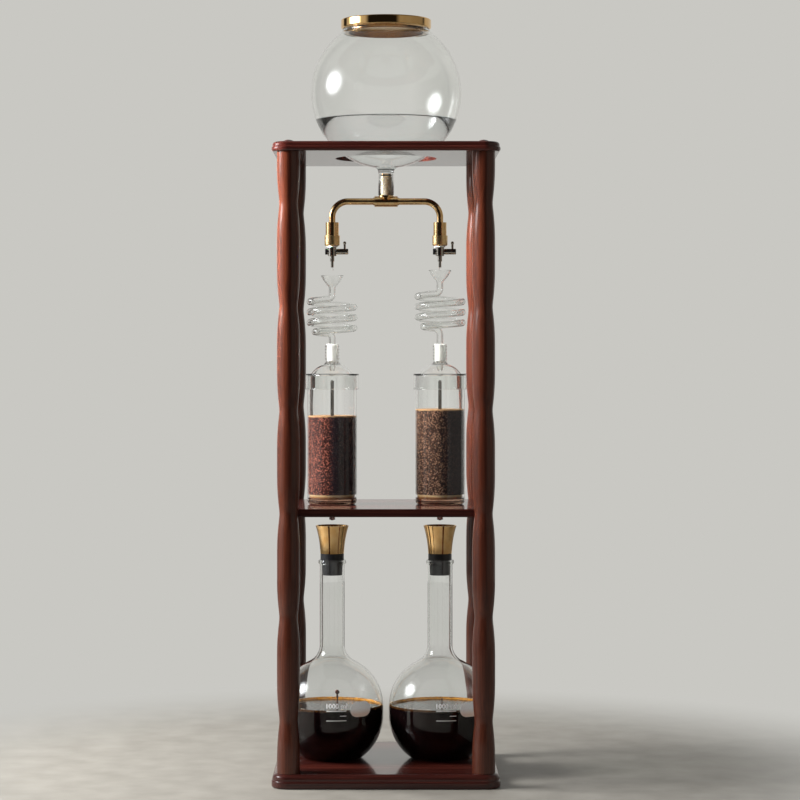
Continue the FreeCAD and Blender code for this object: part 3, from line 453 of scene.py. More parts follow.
def two_gold_lid():
    material, tree, shader, where = new_material("gold_plated_lid")
    lid_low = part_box("bowl_lid")[0].z
    marks = add(tree, "TexNoise", {"Vector": where, "Scale": 1 / (9 * MM), "Detail": 5.0})
    place = add(tree, "SeparateXYZ", {"Vector": where})
    flat = add(tree, "VectorMath", {0: where, 1: (1.0, 1.0, 0.0)}, operation="MULTIPLY")
    reach = add(tree, "VectorMath", {0: flat.outputs[0]}, operation="LENGTH")
    inside = add(tree, "Math", {0: reach.outputs["Value"], 1: LID_COLLAR * MM},
                 operation="LESS_THAN")
    below = add(tree, "Math", {0: place.outputs["Z"], 1: lid_low + LID_HOLLOW * MM},
                operation="LESS_THAN")
    brushed = add(tree, "Math", {0: inside.outputs[0], 1: below.outputs[0]}, operation="MULTIPLY")
    bright = add(tree, "ValToRGB", {"Fac": marks.outputs["Fac"]},
                 stops=((0.3, "#E7BC80"), (0.7, "#ECC58B")))
    # Painted light: the ceiling of the hollow is painted pale.
    pale = add(tree, "ValToRGB", {"Fac": marks.outputs["Fac"]},
               stops=((0.3, "#EFD8B4"), (0.7, "#FFF0D6")))
    ring = add(tree, "Math", {0: reach.outputs["Value"], 1: LID_CEILING * MM},
               operation="GREATER_THAN")
    # Painted shade: the collar inside the hollow is painted a darker brown.
    under = add(tree, "Mix", {0: ring.outputs[0], 6: pale.outputs["Color"],
                              7: colour("#966A3C")}, data_type="RGBA")
    tone = add(tree, "Mix", {0: brushed.outputs[0], 6: bright.outputs["Color"],
                             7: under.outputs[2]}, data_type="RGBA")
    lower = add(tree, "MapRange", {"Value": ring.outputs[0], "To Min": 0.34, "To Max": 0.06})
    rough = add(tree, "MapRange", {"Value": brushed.outputs[0], "To Min": 0.07,
                                   "To Max": lower.outputs["Result"]})
    feed(tree, shader, Base_Color=tone.outputs[2], Metallic=1.0, Roughness=rough.outputs["Result"])
    return material


lid_gold = two_gold_lid()
print("Lid:", lid_gold.name)

# %% [markdown]
# ## Rubber, plastics and bare wood
# The flask stoppers are moulded black rubber with a satin skin. The washers are white nylon, the
# valve caps glossy black plastic, and the sleeve on the stem is milky silicone. The dowels inside
# the shelf are bare beech. Each has a fine noise of its own in colour, roughness and relief.

# %% Moulded finishes
SHEEN_SPREAD = 0.15         # how much the roughness wanders, as a share of it


def moulded(name, dark, light, rough, grain, relief, **more):
    """A soft or moulded material with a grain of that size in millimetres."""
    material, tree, shader, where = new_material(name)
    skin = add(tree, "TexNoise", {"Vector": where, "Scale": 1 / (grain * MM), "Detail": 4.0})
    tone = add(tree, "ValToRGB", {"Fac": skin.outputs["Fac"]}, stops=((0.3, dark), (0.7, light)))
    sheen = add(tree, "MapRange", {"Value": skin.outputs["Fac"], "From Min": 0.3, "From Max": 0.7,
                                   "To Min": rough * (1 - SHEEN_SPREAD),
                                   "To Max": rough * (1 + SHEEN_SPREAD)})
    pits = add(tree, "Bump", {"Height": skin.outputs["Fac"], "Strength": relief,
                              "Distance": 0.1 * MM})
    feed(tree, shader, Base_Color=tone.outputs["Color"], Roughness=sheen.outputs["Result"],
         Normal=pits.outputs[0], **more)
    return material


black_rubber = moulded("moulded_black_rubber", "#0E0E11", "#1A1A1F", 0.36, 1.2, 0.3)
white_nylon = moulded("white_nylon", "#E6E4DE", "#F0EEE9", 0.4, 2.0, 0.1, Subsurface_Weight=0.2,
                      Subsurface_Scale=1.0 * MM)
black_plastic = moulded("glossy_black_plastic", "#0E0E10", "#161618", 0.2, 3.0, 0.05)
silicone = moulded("milky_silicone", "#E6DCC8", "#F2EADB", 0.25, 3.0, 0.05,
                   Transmission_Weight=0.8, IOR=1.41)
bare_beech = moulded("bare_beech", "#B98E5E", "#CDA676", 0.6, 1.5, 0.3)
print("Made five finishes from", black_rubber.name, "to", bare_beech.name)

# %% [markdown]
# ## The filter's felt
# The filter disc is pale wool felt, and its lower half stands in fresh coffee, which has dyed it
# brown. The border between the two is uneven, so noise is added to the height before it picks the
# colour.

# %% Felt
def stained_felt(side):
    material, tree, shader, where = new_material("coffee_stained_felt_" + side)
    low, high = (corner.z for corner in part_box("filter_disc_" + side))
    fluff = add(tree, "TexNoise", {"Vector": where, "Scale": 1 / (0.9 * MM), "Detail": 4.0})
    place = add(tree, "SeparateXYZ", {"Vector": where})
    height = add(tree, "MapRange", {"Value": place.outputs["Z"], "From Min": low, "From Max": high})
    uneven = add(tree, "Math", {0: fluff.outputs["Fac"], 1: 0.5, 2: height.outputs["Result"]},
                 operation="MULTIPLY_ADD")
    tone = add(tree, "ValToRGB", {"Fac": uneven.outputs[0]},
               stops=((0.45, "#4C2810"), (1.0, "#A68A64"), (0.8, "#7C5630")))
    pits = add(tree, "Bump", {"Height": fluff.outputs["Fac"], "Strength": 0.8,
                              "Distance": 0.1 * MM})
    feed(tree, shader, Base_Color=tone.outputs["Color"], Roughness=0.85, Normal=pits.outputs[0])
    return material


felt = {side: stained_felt(side) for side in SIDES}
print("Felt:", [material.name for material in felt.values()])

# %% [markdown]
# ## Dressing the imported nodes
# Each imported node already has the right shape, so it only takes the finish of its real material.

# %% Finish of each node
FINISHES = {
    "base_board": flat_wood, "top_board": flat_wood, "middle_shelf": flat_wood,
    "screw_caps": flat_wood, "shelf_dowels": bare_beech, "bowl_lid": lid_gold,
    "stem_sleeve": silicone, "stem_o_ring": black_rubber, "base_screws": zinc_steel,
    "top_screws": zinc_steel, "tee_fitting": satin_gold,
}
BOWL_ZONES = [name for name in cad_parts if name.startswith("water_bowl")]
FINISHES.update({name: bowl_glass for name in BOWL_ZONES})
for side in SIDES:
    FINISHES.update({
        "post_front_" + side: upright_wood, "post_back_" + side: upright_wood,
        "arm_" + side: satin_gold, "coupling_" + side: satin_gold,
        "union_nut_" + side: brushed_gold, "washer_" + side: white_nylon,
        "valve_body_" + side: nickel_plate,
        "valve_spindle_" + side: nickel_plate, "lever_pin_" + side: nickel_plate,
        "valve_end_cap_" + side: black_plastic, "coil_" + side: coil_glass,
        "cylinder_dome_" + side: tube_glass, "brew_cylinder_" + side: tube_glass,
        "filter_disc_" + side: felt[side], "filter_rod_" + side: dark_steel,
        "flask_" + side: flask_glass, "stopper_" + side: black_rubber,
        "funnel_" + side: gold_plate,
    })
for name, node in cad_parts.items():
    if not node.material_slots:
        node.data.materials.append(None)
    for slot in node.material_slots:
        slot.material = FINISHES[name]
print("Dressed", len(FINISHES), "nodes")

# %% [markdown]
# ## Turning a shape
# Water and coffee take the shape of the vessel around them, which is round. So each is made as on a
# lathe: a plane is merged to one point, the point is extruded along half the outline, and the line
# is spun about the vessel's axis. Poles are merged and the faces turned outwards. A finished piece
# is smoothed, dressed and told which body it moves with.

# %% Lathe
def axis_of(node):
    """Where the upright axis of a round node stands along X, in millimetres."""
    low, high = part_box(node)
    return (low.x + high.x) / 2 / MM


def arc(centre_r, centre_z, radius, start, end, count):
    """Points (r, z) of an arc about a centre, between two angles in degrees."""
    turns = [math.radians(start + (end - start) * step / count) for step in range(count + 1)]
    return [(centre_r + radius * math.cos(t), centre_z + radius * math.sin(t)) for t in turns]


def lathe(name, outline, x=0.0, steps=96):
    """A solid spun about an upright axis at x from an outline of (r, z), all in millimetres."""
    deselect()
    first = Vector((x + outline[0][0], 0, outline[0][1])) * MM
    bpy.ops.mesh.primitive_plane_add(size=MM, location=first)
    piece = bpy.context.object
    piece.name = name
    bpy.ops.object.mode_set(mode="EDIT")
    bpy.ops.mesh.merge(type="CENTER")
    for here, there in zip(outline, outline[1:]):
        step = Vector((there[0] - here[0], 0, there[1] - here[1])) * MM
        bpy.ops.mesh.extrude_region_move(TRANSFORM_OT_translate={"value": step})
    bpy.ops.mesh.select_all(action="SELECT")
    bpy.ops.mesh.spin(steps=steps, angle=math.tau, center=(x * MM, 0, 0), axis=(0, 0, 1))
    bpy.ops.mesh.select_all(action="SELECT")
    bpy.ops.mesh.remove_doubles(threshold=0.002 * MM)
    bpy.ops.mesh.normals_make_consistent(inside=False)
    bpy.ops.object.mode_set(mode="OBJECT")
    bpy.ops.object.transform_apply()
    return piece


def apply_modifier(piece, modifier):
    bpy.context.view_layer.objects.active = piece
    bpy.ops.object.modifier_apply(modifier=modifier.name)


def settle(piece, material, body, smooth=35.0):
    """Gives a finished piece its smooth shading, its material and the body it moves with."""
    deselect()
    piece.select_set(True)
    bpy.context.view_layer.objects.active = piece
    bpy.ops.object.shade_smooth_by_angle(angle=math.radians(smooth))
    piece.data.materials.clear()
    piece.data.materials.append(material)
    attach(piece, body)
    print(piece.name, len(piece.data.polygons), "faces, on", body)
    return piece


print("Lathe ready; the flasks stand at", [round(axis_of("flask_" + side), 2) for side in SIDES])

# %% [markdown]
# ## The water bowl
# The bowl is one blown ball, with a neck drawn out below and a fire-polished mouth above. The
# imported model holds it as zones, and inside glass each seam between zones would show as a line. So
# the whole wall is turned here as one closed profile, up its outside and down its inside, and
# stands for them.

# %% Water bowl
BOWL_RADIUS = 96.5
BOWL_WALL = 2.3
BOWL_MOUTH = 56.0
RIM_WIDTH = 5.2
RIM_HEIGHT = 3.3
RIM_ROUNDING = 1.5
NECK_RADIUS = 9.95
NECK_FLARE = 7.0            # rounding between ball and neck, on the outside
NECK_EDGE = 1.0

neck_z = min(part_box(name)[0].z for name in BOWL_ZONES) / MM
rim_z = max(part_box(name)[1].z for name in BOWL_ZONES) / MM
bowl_z = rim_z - RIM_HEIGHT - math.sqrt(BOWL_RADIUS ** 2 - BOWL_MOUTH ** 2)


def bowl_side(inset, top):
    """One side of the bowl's wall, from the flare over its neck to an angle above the equator."""
    ball = BOWL_RADIUS - inset
    tube = NECK_RADIUS - inset
    flare = NECK_FLARE + inset
    leave = math.degrees(math.acos((tube + flare) / (ball + flare)))
    flare_z = bowl_z - math.sqrt((ball + flare) ** 2 - (tube + flare) ** 2)
    return (arc(tube + flare, flare_z, flare, 180, 180 - leave, 12)
            + arc(0, bowl_z, ball, -leave, top, 72)[1:])


mouth_bore = BOWL_MOUTH - RIM_WIDTH
neck_bore = NECK_RADIUS - BOWL_WALL
round_z = rim_z - RIM_ROUNDING
edge_z = neck_z + NECK_EDGE
profile = [(NECK_RADIUS, edge_z)]
profile += bowl_side(0, math.degrees(math.acos(BOWL_MOUTH / BOWL_RADIUS)))
profile += arc(BOWL_MOUTH - RIM_ROUNDING, round_z, RIM_ROUNDING, 0, 90, 6)
profile += arc(mouth_bore + RIM_ROUNDING, round_z, RIM_ROUNDING, 90, 180, 6)
inner_top = math.degrees(math.acos(mouth_bore / (BOWL_RADIUS - BOWL_WALL)))
profile += bowl_side(BOWL_WALL, inner_top)[::-1]
profile += arc(neck_bore + NECK_EDGE, edge_z, NECK_EDGE, 180, 270, 4)
profile += arc(NECK_RADIUS - NECK_EDGE, edge_z, NECK_EDGE, 270, 360, 4)
bowl = settle(lathe("water_bowl_glass", profile, steps=160), bowl_glass, "bowl")
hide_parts(*BOWL_ZONES)

# %% [markdown]
# ## Water in the bowl
# The water follows the bowl's inner wall and the neck down to the stem, and climbs the glass by a
# millimetre at its edge. It reaches a hair into the glass, so light goes from glass to water with
# no film of air between them.

# %% Clear water
def clear_water():
    material, tree, shader, where = new_material("clear_water")
    swell = add(tree, "TexNoise", {"Vector": where, "Scale": 1 / (30 * MM), "Detail": 1.0})
    ripple = add(tree, "Bump", {"Height": swell.outputs["Fac"], "Strength": 0.1,
                                "Distance": 0.3 * MM})
    tint = add(tree, "ValToRGB", {"Fac": swell.outputs["Fac"]},
               stops=((0.3, "#F7FBFC"), (0.7, "#FFFFFF")))
    feed(tree, shader, Base_Color=tint.outputs["Color"], Roughness=0.0, IOR=1.333,
         Transmission_Weight=1.0, Normal=ripple.outputs[0])
    let_lamps_through(tree, shader)
    return material


water = clear_water()
IN_GLASS = 0.15             # how far a liquid reaches into the wall
WATER_LEVEL = 833.5
MENISCUS = 1.4              # how far the water climbs the glass
MENISCUS_SLOPE = ((0.5, 0.6), (1.6, 0.15), (3.5, 0.0))      # in from the glass, up from the level

stem_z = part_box("tee_fitting")[1].z / MM + 0.1
inner = BOWL_RADIUS - BOWL_WALL + IN_GLASS
edge = math.degrees(math.asin((WATER_LEVEL + MENISCUS - bowl_z) / inner))
edge_r = inner * math.cos(math.radians(edge))
water_outline = [(0, stem_z), (neck_bore + IN_GLASS, stem_z)]
water_outline += bowl_side(BOWL_WALL - IN_GLASS, edge)
water_outline += [(edge_r - back, WATER_LEVEL + up) for back, up in MENISCUS_SLOPE]
water_outline += [(edge_r / 2, WATER_LEVEL), (0, WATER_LEVEL)]
settle(lathe("bowl_water", water_outline, steps=128), water, "bowl")

# %% [markdown]
# ## Coffee, from black to amber
# Brewed coffee is nearly black, and amber only where it is thin, as in the rim that climbs the
# glass. Its oils lie on it as a film, which a clear coat gives on the top surface alone, because
# against the glass there is no air that it could shine in. Drops, the film at the glass and the
# fresh coffee under the filters are thinner, so each has a lighter brown of its own. The film's
# colour is also painted light and shade: amber at the far side and brown at the near side.

# %% Coffee finishes
COFFEE_LEVEL = 84.4
RING_HEIGHT = 0.35
FILM_HEIGHT = 2.6           # how far coffee climbs the glass


def black_coffee():
    material, tree, shader, where = new_material("black_coffee")
    cloud = add(tree, "TexNoise", {"Vector": where, "Scale": 1 / (18 * MM), "Detail": 3.0})
    tone = add(tree, "ValToRGB", {"Fac": cloud.outputs["Fac"]},
               stops=((0.35, "#080405"), (0.7, "#130809")))
    place = add(tree, "SeparateXYZ", {"Vector": where})
    film = add(tree, "Math", {0: place.outputs["Z"], 1: (COFFEE_LEVEL - RING_HEIGHT) * MM},
               operation="GREATER_THAN")
    feed(tree, shader, Base_Color=tone.outputs["Color"], Roughness=0.03, Specular_IOR_Level=0.0,
         Coat_Weight=film.outputs[0], Coat_Roughness=0.03, Coat_IOR=1.5)
    return material


def thin_coffee():
    material, tree, shader, where = new_material("fresh_amber_brew")
    cloud = add(tree, "TexNoise", {"Vector": where, "Scale": 1 / (5 * MM), "Detail": 2.0})
    tone = add(tree, "ValToRGB", {"Fac": cloud.outputs["Fac"]},
               stops=((0.3, "#F6EBDC"), (0.7, "#FFFAF2")))
    feed(tree, shader, Base_Color=tone.outputs["Color"], Roughness=0.02, IOR=1.34,
         Transmission_Weight=1.0)
    amber = add(tree, "VolumeAbsorption", {"Color": colour("#F9A850"), "Density": 15.0})
    let_lamps_through(tree, shader, amber.outputs["Volume"])
    return material


def rim_film():
    """The film that climbs the glass, with painted light and shade: painted amber at the far side,
    where light comes through it, and painted brown at the near side, where the black coffee is
    behind it."""
    material, tree, shader, where = new_material("thin_amber_coffee")
    beads = add(tree, "TexNoise", {"Vector": where, "Scale": 1 / (1.6 * MM), "Detail": 2.0})
    near = add(tree, "ValToRGB", {"Fac": beads.outputs["Fac"]},
               stops=((0.35, "#1E0F08"), (0.75, "#6B4422")))
    far = add(tree, "ValToRGB", {"Fac": beads.outputs["Fac"]},
              stops=((0.3, "#8A4E18"), (0.7, "#E6A443")))
    # Painted light and shade: the film turns from brown at the front to amber at the back.
    place = add(tree, "SeparateXYZ", {"Vector": where})
    back = add(tree, "MapRange", {"Value": place.outputs["Y"], "From Min": -15 * MM,
                                  "From Max": 25 * MM})
    tone = add(tree, "Mix", {0: back.outputs["Result"], 6: near.outputs["Color"],
                             7: far.outputs["Color"]}, data_type="RGBA")
    feed(tree, shader, Base_Color=tone.outputs[2], Roughness=0.2, Transmission_Weight=0.2, IOR=1.34,
         Coat_Weight=0.5, Coat_Roughness=0.05)
    return material


coffee = black_coffee()
splash_coffee = moulded("dark_coffee_drops", "#2A0E06", "#4A1B0C", 0.05, 4.0, 0.0,
                        Coat_Weight=1.0, Coat_Roughness=0.02)
drop_coffee = moulded("red_brown_coffee_drop", "#8E3529", "#B25A4A", 0.08, 4.0, 0.0,
                      Coat_Weight=1.0, Coat_Roughness=0.03)
amber = rim_film()
brew = thin_coffee()
print("Coffee:", coffee.name, amber.name, brew.name)

# %% [markdown]
# ## Coffee in the flasks
# The coffee fills the bottom of the flask, so its body is turned like the water, from the flask's
# own radii less its wall. Drops that fall into it send out rings, which the Wave modifier lays on
# the top surface alone, by way of a vertex group. The film that climbs the glass is a thin ring of
# its own.

# %% Coffee bodies
FLASK_RADIUS = 65.5
FLASK_WALL = 2.0
FLASK_LOWER = 72.3          # centre of the ball's lower half
FLASK_UPPER = 83.0          # centre of its upper half
FLASK_CORNER = 14.0
FLASK_FLOOR = 20.0
RING_PITCH = 7.0
RING_SHARPNESS = 1.5        # half the width of one crest
RING_REACH = 62.0
RING_AGE = 20               # frames that the rings have run, at the speed below
RING_SPEED = 3.2
DROP_POINT = {"left": 6.5, "right": 2.6}                    # right of each flask's axis
FILM_FOOT = ((2.4, -0.4), (0.1, -0.4))                      # in from the glass, up from the level
FILM_SLOPE = ((0.8, 1.7), (1.5, 0.7), (2.4, 0.3), (2.4, -0.4))


def ripple(piece, x):
    """Rings on the top surface, around the point where drops fall in."""
    top = piece.vertex_groups.new(name="top")
    flat = [v.index for v in piece.data.vertices if abs(v.co.z - COFFEE_LEVEL * MM) < 0.05 * MM]
    top.add(flat, 1.0, "REPLACE")
    rings = piece.modifiers.new("rings", "WAVE")
    rings.vertex_group = "top"
    rings.use_cyclic = True
    rings.start_position_x = x * MM
    rings.height = RING_HEIGHT * MM
    rings.width = RING_PITCH / 2 * MM
    rings.narrowness = 1 / (RING_SHARPNESS * MM)
    rings.falloff_radius = RING_REACH * MM
    rings.time_offset = -RING_AGE
    rings.speed = RING_SPEED * MM
    apply_modifier(piece, rings)


for side in SIDES:
    x = axis_of("flask_" + side)
    inner = FLASK_RADIUS - FLASK_WALL + IN_GLASS
    corner = FLASK_CORNER - FLASK_WALL + IN_GLASS
    corner_z = FLASK_FLOOR - FLASK_WALL + FLASK_CORNER
    corner_r = math.sqrt((inner - corner) ** 2 - (FLASK_LOWER - corner_z) ** 2)
    tangent = math.degrees(math.atan2(corner_z - FLASK_LOWER, corner_r))
    rise = math.degrees(math.asin((COFFEE_LEVEL - FLASK_UPPER) / inner))
    edge_r = inner * math.cos(math.radians(rise))
    outline = [(0, FLASK_FLOOR - IN_GLASS)]
    outline += arc(corner_r, corner_z, corner, -90, tangent, 12)
    outline += arc(0, FLASK_LOWER, inner, tangent, 0, 28)[1:]
    outline += arc(0, FLASK_UPPER, inner, 0, rise, 3)
    outline += [(edge_r * (1 - step / 90), COFFEE_LEVEL) for step in range(1, 91)]
    body = lathe("coffee_" + side, outline, x=x, steps=160)
    ripple(body, x + DROP_POINT[side])
    settle(body, coffee, "flask_" + side)

    film_top = math.degrees(math.asin((COFFEE_LEVEL + FILM_HEIGHT - FLASK_UPPER) / inner))
    film = [(edge_r - back, COFFEE_LEVEL + up) for back, up in FILM_FOOT]
    film += arc(0, FLASK_UPPER, inner, rise, film_top, 4)
    film += [(edge_r - back, COFFEE_LEVEL + up) for back, up in FILM_SLOPE]
    settle(lathe("coffee_rim_" + side, film, x=x, steps=128), amber, "flask_" + side)

# %% [markdown]
# ## Splashes
# Each drop that falls into the coffee throws up a thin column. In the left flask it is still tall,
# with a ball at its end, and in the right one it has nearly sunk back. Both are round about an
# upright axis, so they are turned too.

# %% Splash in each flask
def drop_end(radius, centre_z, start):
    """The top of a ball, from an angle below its equator to its pole."""
    return arc(0, centre_z, radius, start, 90, 12)


SPLASH = {
    "left": [(0, -0.5), (2.8, -0.5), (2.6, 0.1), (1.5, 0.9), (1.1, 2.6), (0.9, 7.5), (1.1, 9.8),
             (1.5, 11.4), (1.2, 13.0), (0.95, 14.4)] + drop_end(2.9, 17.3, -68),
    "right": [(0, -0.5), (2.6, -0.5), (2.4, 0.1), (1.4, 1.0), (0.9, 2.8), (0.75, 5.4)]
             + drop_end(1.15, 8.2, -50),
}
for side in SIDES:
    x = axis_of("flask_" + side) + DROP_POINT[side]
    splash = [(r, COFFEE_LEVEL + z) for r, z in SPLASH[side]]
    splash = lathe("coffee_splash_" + side, splash, x=x, steps=32)
    settle(splash, splash_coffee, "flask_" + side, 80)

# %% [markdown]
# ## Drops of water
# A drop hangs at the tip of each valve before it falls: a ball below, drawn in where it clings to
# the metal. It is turned in the same way, from the water's own material, and goes where the
# manifold goes.

# %% Water drop at each valve tip
DROP_RADIUS = 1.7
DROP_BELOW = 2.4            # its middle, below the tip

for side in SIDES:
    tip_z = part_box("valve_body_" + side)[0].z / MM
    hanging = [(0, tip_z - DROP_BELOW - DROP_RADIUS)]
    hanging += arc(0, tip_z - DROP_BELOW, DROP_RADIUS, -80, 35, 12)
    hanging += [(1.1, tip_z - 0.8), (0.95, tip_z + 0.1), (0, tip_z + 0.1)]
    drop = lathe("water_drop_" + side, hanging, x=axis_of("coupling_" + side), steps=32)
    settle(drop, water, "manifold", 80)

# %% [markdown]
# ## Bubbles
# Small bubbles cling to the glass where the coffee ends. Hundreds of shapes call for few faces, so
# one small ball is made, copied around the edge at random places and sizes, and the copies are
# joined. The random numbers have a fixed seed, so the bubbles come out the same each time.

# %% Bubbles at the edge of the coffee
BUBBLES = 110
BUBBLE_RADIUS = (0.45, 1.0)
BUBBLE_HEIGHT = 0.8         # a bubble is flattened to this share of its width
BUBBLE_CLIMB = (-0.3, 0.5)  # from the upper edge of the film
BUBBLE_INSIDE = 0.9         # its middle is this many of its radii in from the glass
rng = random.Random(7)


def foam():
    material, tree, shader, where = new_material("coffee_foam")
    skin = add(tree, "TexNoise", {"Vector": where, "Scale": 1 / (0.7 * MM)})
    tone = add(tree, "ValToRGB", {"Fac": skin.outputs["Fac"]},
               stops=((0.3, "#C9AE88"), (0.7, "#FBF3E4")))
    feed(tree, shader, Base_Color=tone.outputs["Color"], Roughness=0.12, Transmission_Weight=0.45,
         Coat_Weight=0.6, Coat_Roughness=0.03)
    return material


bubble_skin = foam()
wall = FLASK_RADIUS - FLASK_WALL
for side in SIDES:
    x = axis_of("flask_" + side)
    deselect()
    bpy.ops.mesh.primitive_ico_sphere_add(subdivisions=2, radius=MM)
    first = bpy.context.object
    copies = []
    for _ in range(BUBBLES):
        size = rng.uniform(*BUBBLE_RADIUS)
        turn = rng.uniform(0, math.tau)
        bubble_z = COFFEE_LEVEL + (FILM_HEIGHT + rng.uniform(*BUBBLE_CLIMB))
        rise = math.asin((bubble_z - FLASK_UPPER) / wall)
        reach = wall * math.cos(rise) - size * BUBBLE_INSIDE
        bubble = first.copy()
        bubble.data = first.data.copy()
        bpy.context.collection.objects.link(bubble)
        bubble.location = Vector((x + reach * math.cos(turn), reach * math.sin(turn),
                                  bubble_z)) * MM
        bubble.scale = (size, size, size * BUBBLE_HEIGHT)
        copies.append(bubble)
    bpy.data.objects.remove(first)
    deselect()
    for bubble in copies:
        bubble.select_set(True)
    bpy.context.view_layer.objects.active = copies[0]
    bpy.ops.object.join()
    bpy.ops.object.transform_apply()
    copies[0].name = "coffee_bubbles_" + side
    settle(copies[0], bubble_skin, "flask_" + side, 80)

# %% [markdown]
# ## Fresh coffee under the filters
# Coffee gathers between the filter disc and the glass floor, where light comes through it and it
# looks amber. It then runs down the outlet and hangs there as a dark drop. Two turned bodies follow
# the glass, a hair inside the wall: the pool under the disc, and the thread of coffee in the
# outlet.

# %% Fresh coffee
FLOOR_THICKNESS = 3.0
FLOOR_ROUNDING = 6.0
OUTLET_BORE = 2.4
OUTLET_TAPER = 2.5
OUTLET_DROP = ((0, -1.0), (1.0, -0.9), (1.8, -0.55), (2.2, -0.05))      # radius, up from the tip
CYLINDER_BORE = 29.5

floor_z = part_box("middle_shelf")[1].z / MM + FLOOR_THICKNESS
corner_r = CYLINDER_BORE - FLOOR_ROUNDING
corner_z = floor_z + FLOOR_ROUNDING
bore = OUTLET_BORE + IN_GLASS
taper_z = floor_z - OUTLET_TAPER
for side in SIDES:
    x = axis_of("filter_disc_" + side)
    under_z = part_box("filter_disc_" + side)[0].z / MM - 0.02
    tip_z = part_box("brew_cylinder_" + side)[0].z / MM
    rise = math.degrees(math.asin((under_z - corner_z) / (FLOOR_ROUNDING + IN_GLASS)))
    thread = [(r, tip_z + z) for r, z in OUTLET_DROP]
    thread += [(bore, tip_z + 0.1), (bore, taper_z), (0, taper_z)]
    settle(lathe("outlet_coffee_" + side, thread, x=x, steps=48), drop_coffee, "frame")
    outline = [(0, taper_z), (bore, taper_z), (bore + OUTLET_TAPER, floor_z - IN_GLASS)]
    outline += arc(corner_r, corner_z, FLOOR_ROUNDING + IN_GLASS, -90, rise, 12)
    outline += [(0, under_z)]
    settle(lathe("fresh_coffee_" + side, outline, x=x, steps=128), brew, "frame")

# %% [markdown]
# ## Ground coffee in the cylinders
# The grounds stand on the filter disc and lean on the glass. They are grains of about a millimetre,
# dark red-brown where they are wet and tan at the dry top. A turned cylinder takes real grains from
# a Displace modifier with a cell texture, and the material gives each grain its own brown. The half
# away from the window is painted nearly black, as painted shade with a painted dark reflection on
# it. The outermost grains touch the glass, so it magnifies them out to its edge, as a wet wall does.

# %% Ground coffee
GRAIN = 0.9
GRAIN_RELIEF = 0.6
GRAIN_CONTACT = 0.4         # how far the outermost grains reach into the glass
GRAIN_PATCH = 1.25          # one tone covers a little more than a grain
GROUNDS_TOP = {"left": 456.0, "right": 464.5}
GROUNDS_DISH = 0.5          # how far the top sinks toward the rod
GROUNDS_TINT = {"left": ("#140504", "#3A140E", "#985A48"),
                "right": ("#140907", "#382015", "#97755E")}
# Painted shade: the grounds turn from brown to black right of each axis, away from the window.
PAINTED_SHADE_SPAN = {"left": (-4.0, 3.0), "right": (1.0, 13.0)}    # from brown to black, right of the axis
DRY = (-0.7, 0.1)           # from wet to dry, above the top
DRY_WOBBLE = 3.0            # how far that border wanders


def ground_coffee(side):
    material, tree, shader, where = new_material("ground_coffee_" + side)
    cells = add(tree, "TexVoronoi", {"Vector": where, "Scale": 1 / (GRAIN * GRAIN_PATCH * MM)})
    shade = add(tree, "SeparateColor", {"Color": cells.outputs["Color"]})
    dark, middle, light = GROUNDS_TINT[side]
    brown = add(tree, "ValToRGB", {"Fac": shade.outputs[0]},
                stops=((0.2, dark), (1.0, light), (0.68, middle)))
    place = add(tree, "SeparateXYZ", {"Vector": where})
    wobble = add(tree, "TexNoise", {"Vector": where, "Scale": 1 / (9 * MM)})
    level = add(tree, "Math", {0: wobble.outputs["Fac"], 1: DRY_WOBBLE * MM,
                               2: place.outputs["Z"]}, operation="MULTIPLY_ADD")
    dry = add(tree, "MapRange", {"Value": level.outputs[0],
                                 "From Min": (GROUNDS_TOP[side] + DRY[0]) * MM,
                                 "From Max": (GROUNDS_TOP[side] + DRY[1]) * MM})
    axis = axis_of("filter_disc_" + side)
    # Painted shade and a painted dark reflection: the grains turn purple-black away from the window.
    start, end = PAINTED_SHADE_SPAN[side]
    painted_shade = add(tree, "MapRange", {"Value": place.outputs["X"], "From Min": (axis + start) * MM,
                                    "From Max": (axis + end) * MM, "To Max": 0.88})
    wet_and_shaded = add(tree, "Mix", {0: painted_shade.outputs["Result"], 6: brown.outputs["Color"],
                            7: colour("#1C121D")}, data_type="RGBA")
    tan = add(tree, "Mix", {0: dry.outputs["Result"], 6: wet_and_shaded.outputs[2],
                            7: colour("#A8835E")}, data_type="RGBA")
    grains = add(tree, "Bump", {"Height": cells.outputs["Distance"], "Strength": 0.7,
                                "Distance": 0.5 * MM}, invert=True)
    feed(tree, shader, Base_Color=tan.outputs[2], Roughness=0.7, Normal=grains.outputs[0])
    return material


radius = CYLINDER_BORE + GRAIN_CONTACT
for side in SIDES:
    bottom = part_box("filter_disc_" + side)[1].z / MM + 0.05
    top = GROUNDS_TOP[side]
    rings = int((top - bottom) / 0.75)
    outline = [(0, bottom)]
    outline += [(radius * step / 6, bottom) for step in range(1, 6)]
    outline += [(radius, bottom + (top - bottom) * step / rings) for step in range(rings + 1)]
    outline += [(radius * (1 - step / 24), top - GROUNDS_DISH * math.sin(math.pi * step / 24 / 2))
                for step in range(1, 25)]
    piece = lathe("ground_coffee_" + side, outline, x=axis_of("filter_disc_" + side), steps=240)
    cells = bpy.data.textures.new("grains_" + side, "VORONOI")
    cells.noise_scale = GRAIN * MM * 1.2
    lumps = piece.modifiers.new("grains", "DISPLACE")
    lumps.texture = cells
    lumps.strength = -GRAIN_RELIEF * MM
    lumps.mid_level = 0.0
    apply_modifier(piece, lumps)
    settle(piece, ground_coffee(side), "frame", smooth=60)

# %% [markdown]
# ## Enamel on the flasks
# The flasks carry their volume in white enamel, a few tick lines and a plain rounded patch to write
# on. They are fired on the glass, so they follow its curve. Each shape is made flat, stood up in
# front of the flask, projected on it with the Shrinkwrap modifier, and given the thickness of a
# coat of enamel.

# %% Enamel
ENAMEL = 0.15
IN_FRONT = -80.0            # the flat shapes stand here before they are projected
PRINT_AT = 6.5              # the print's middle, right of the flask's axis


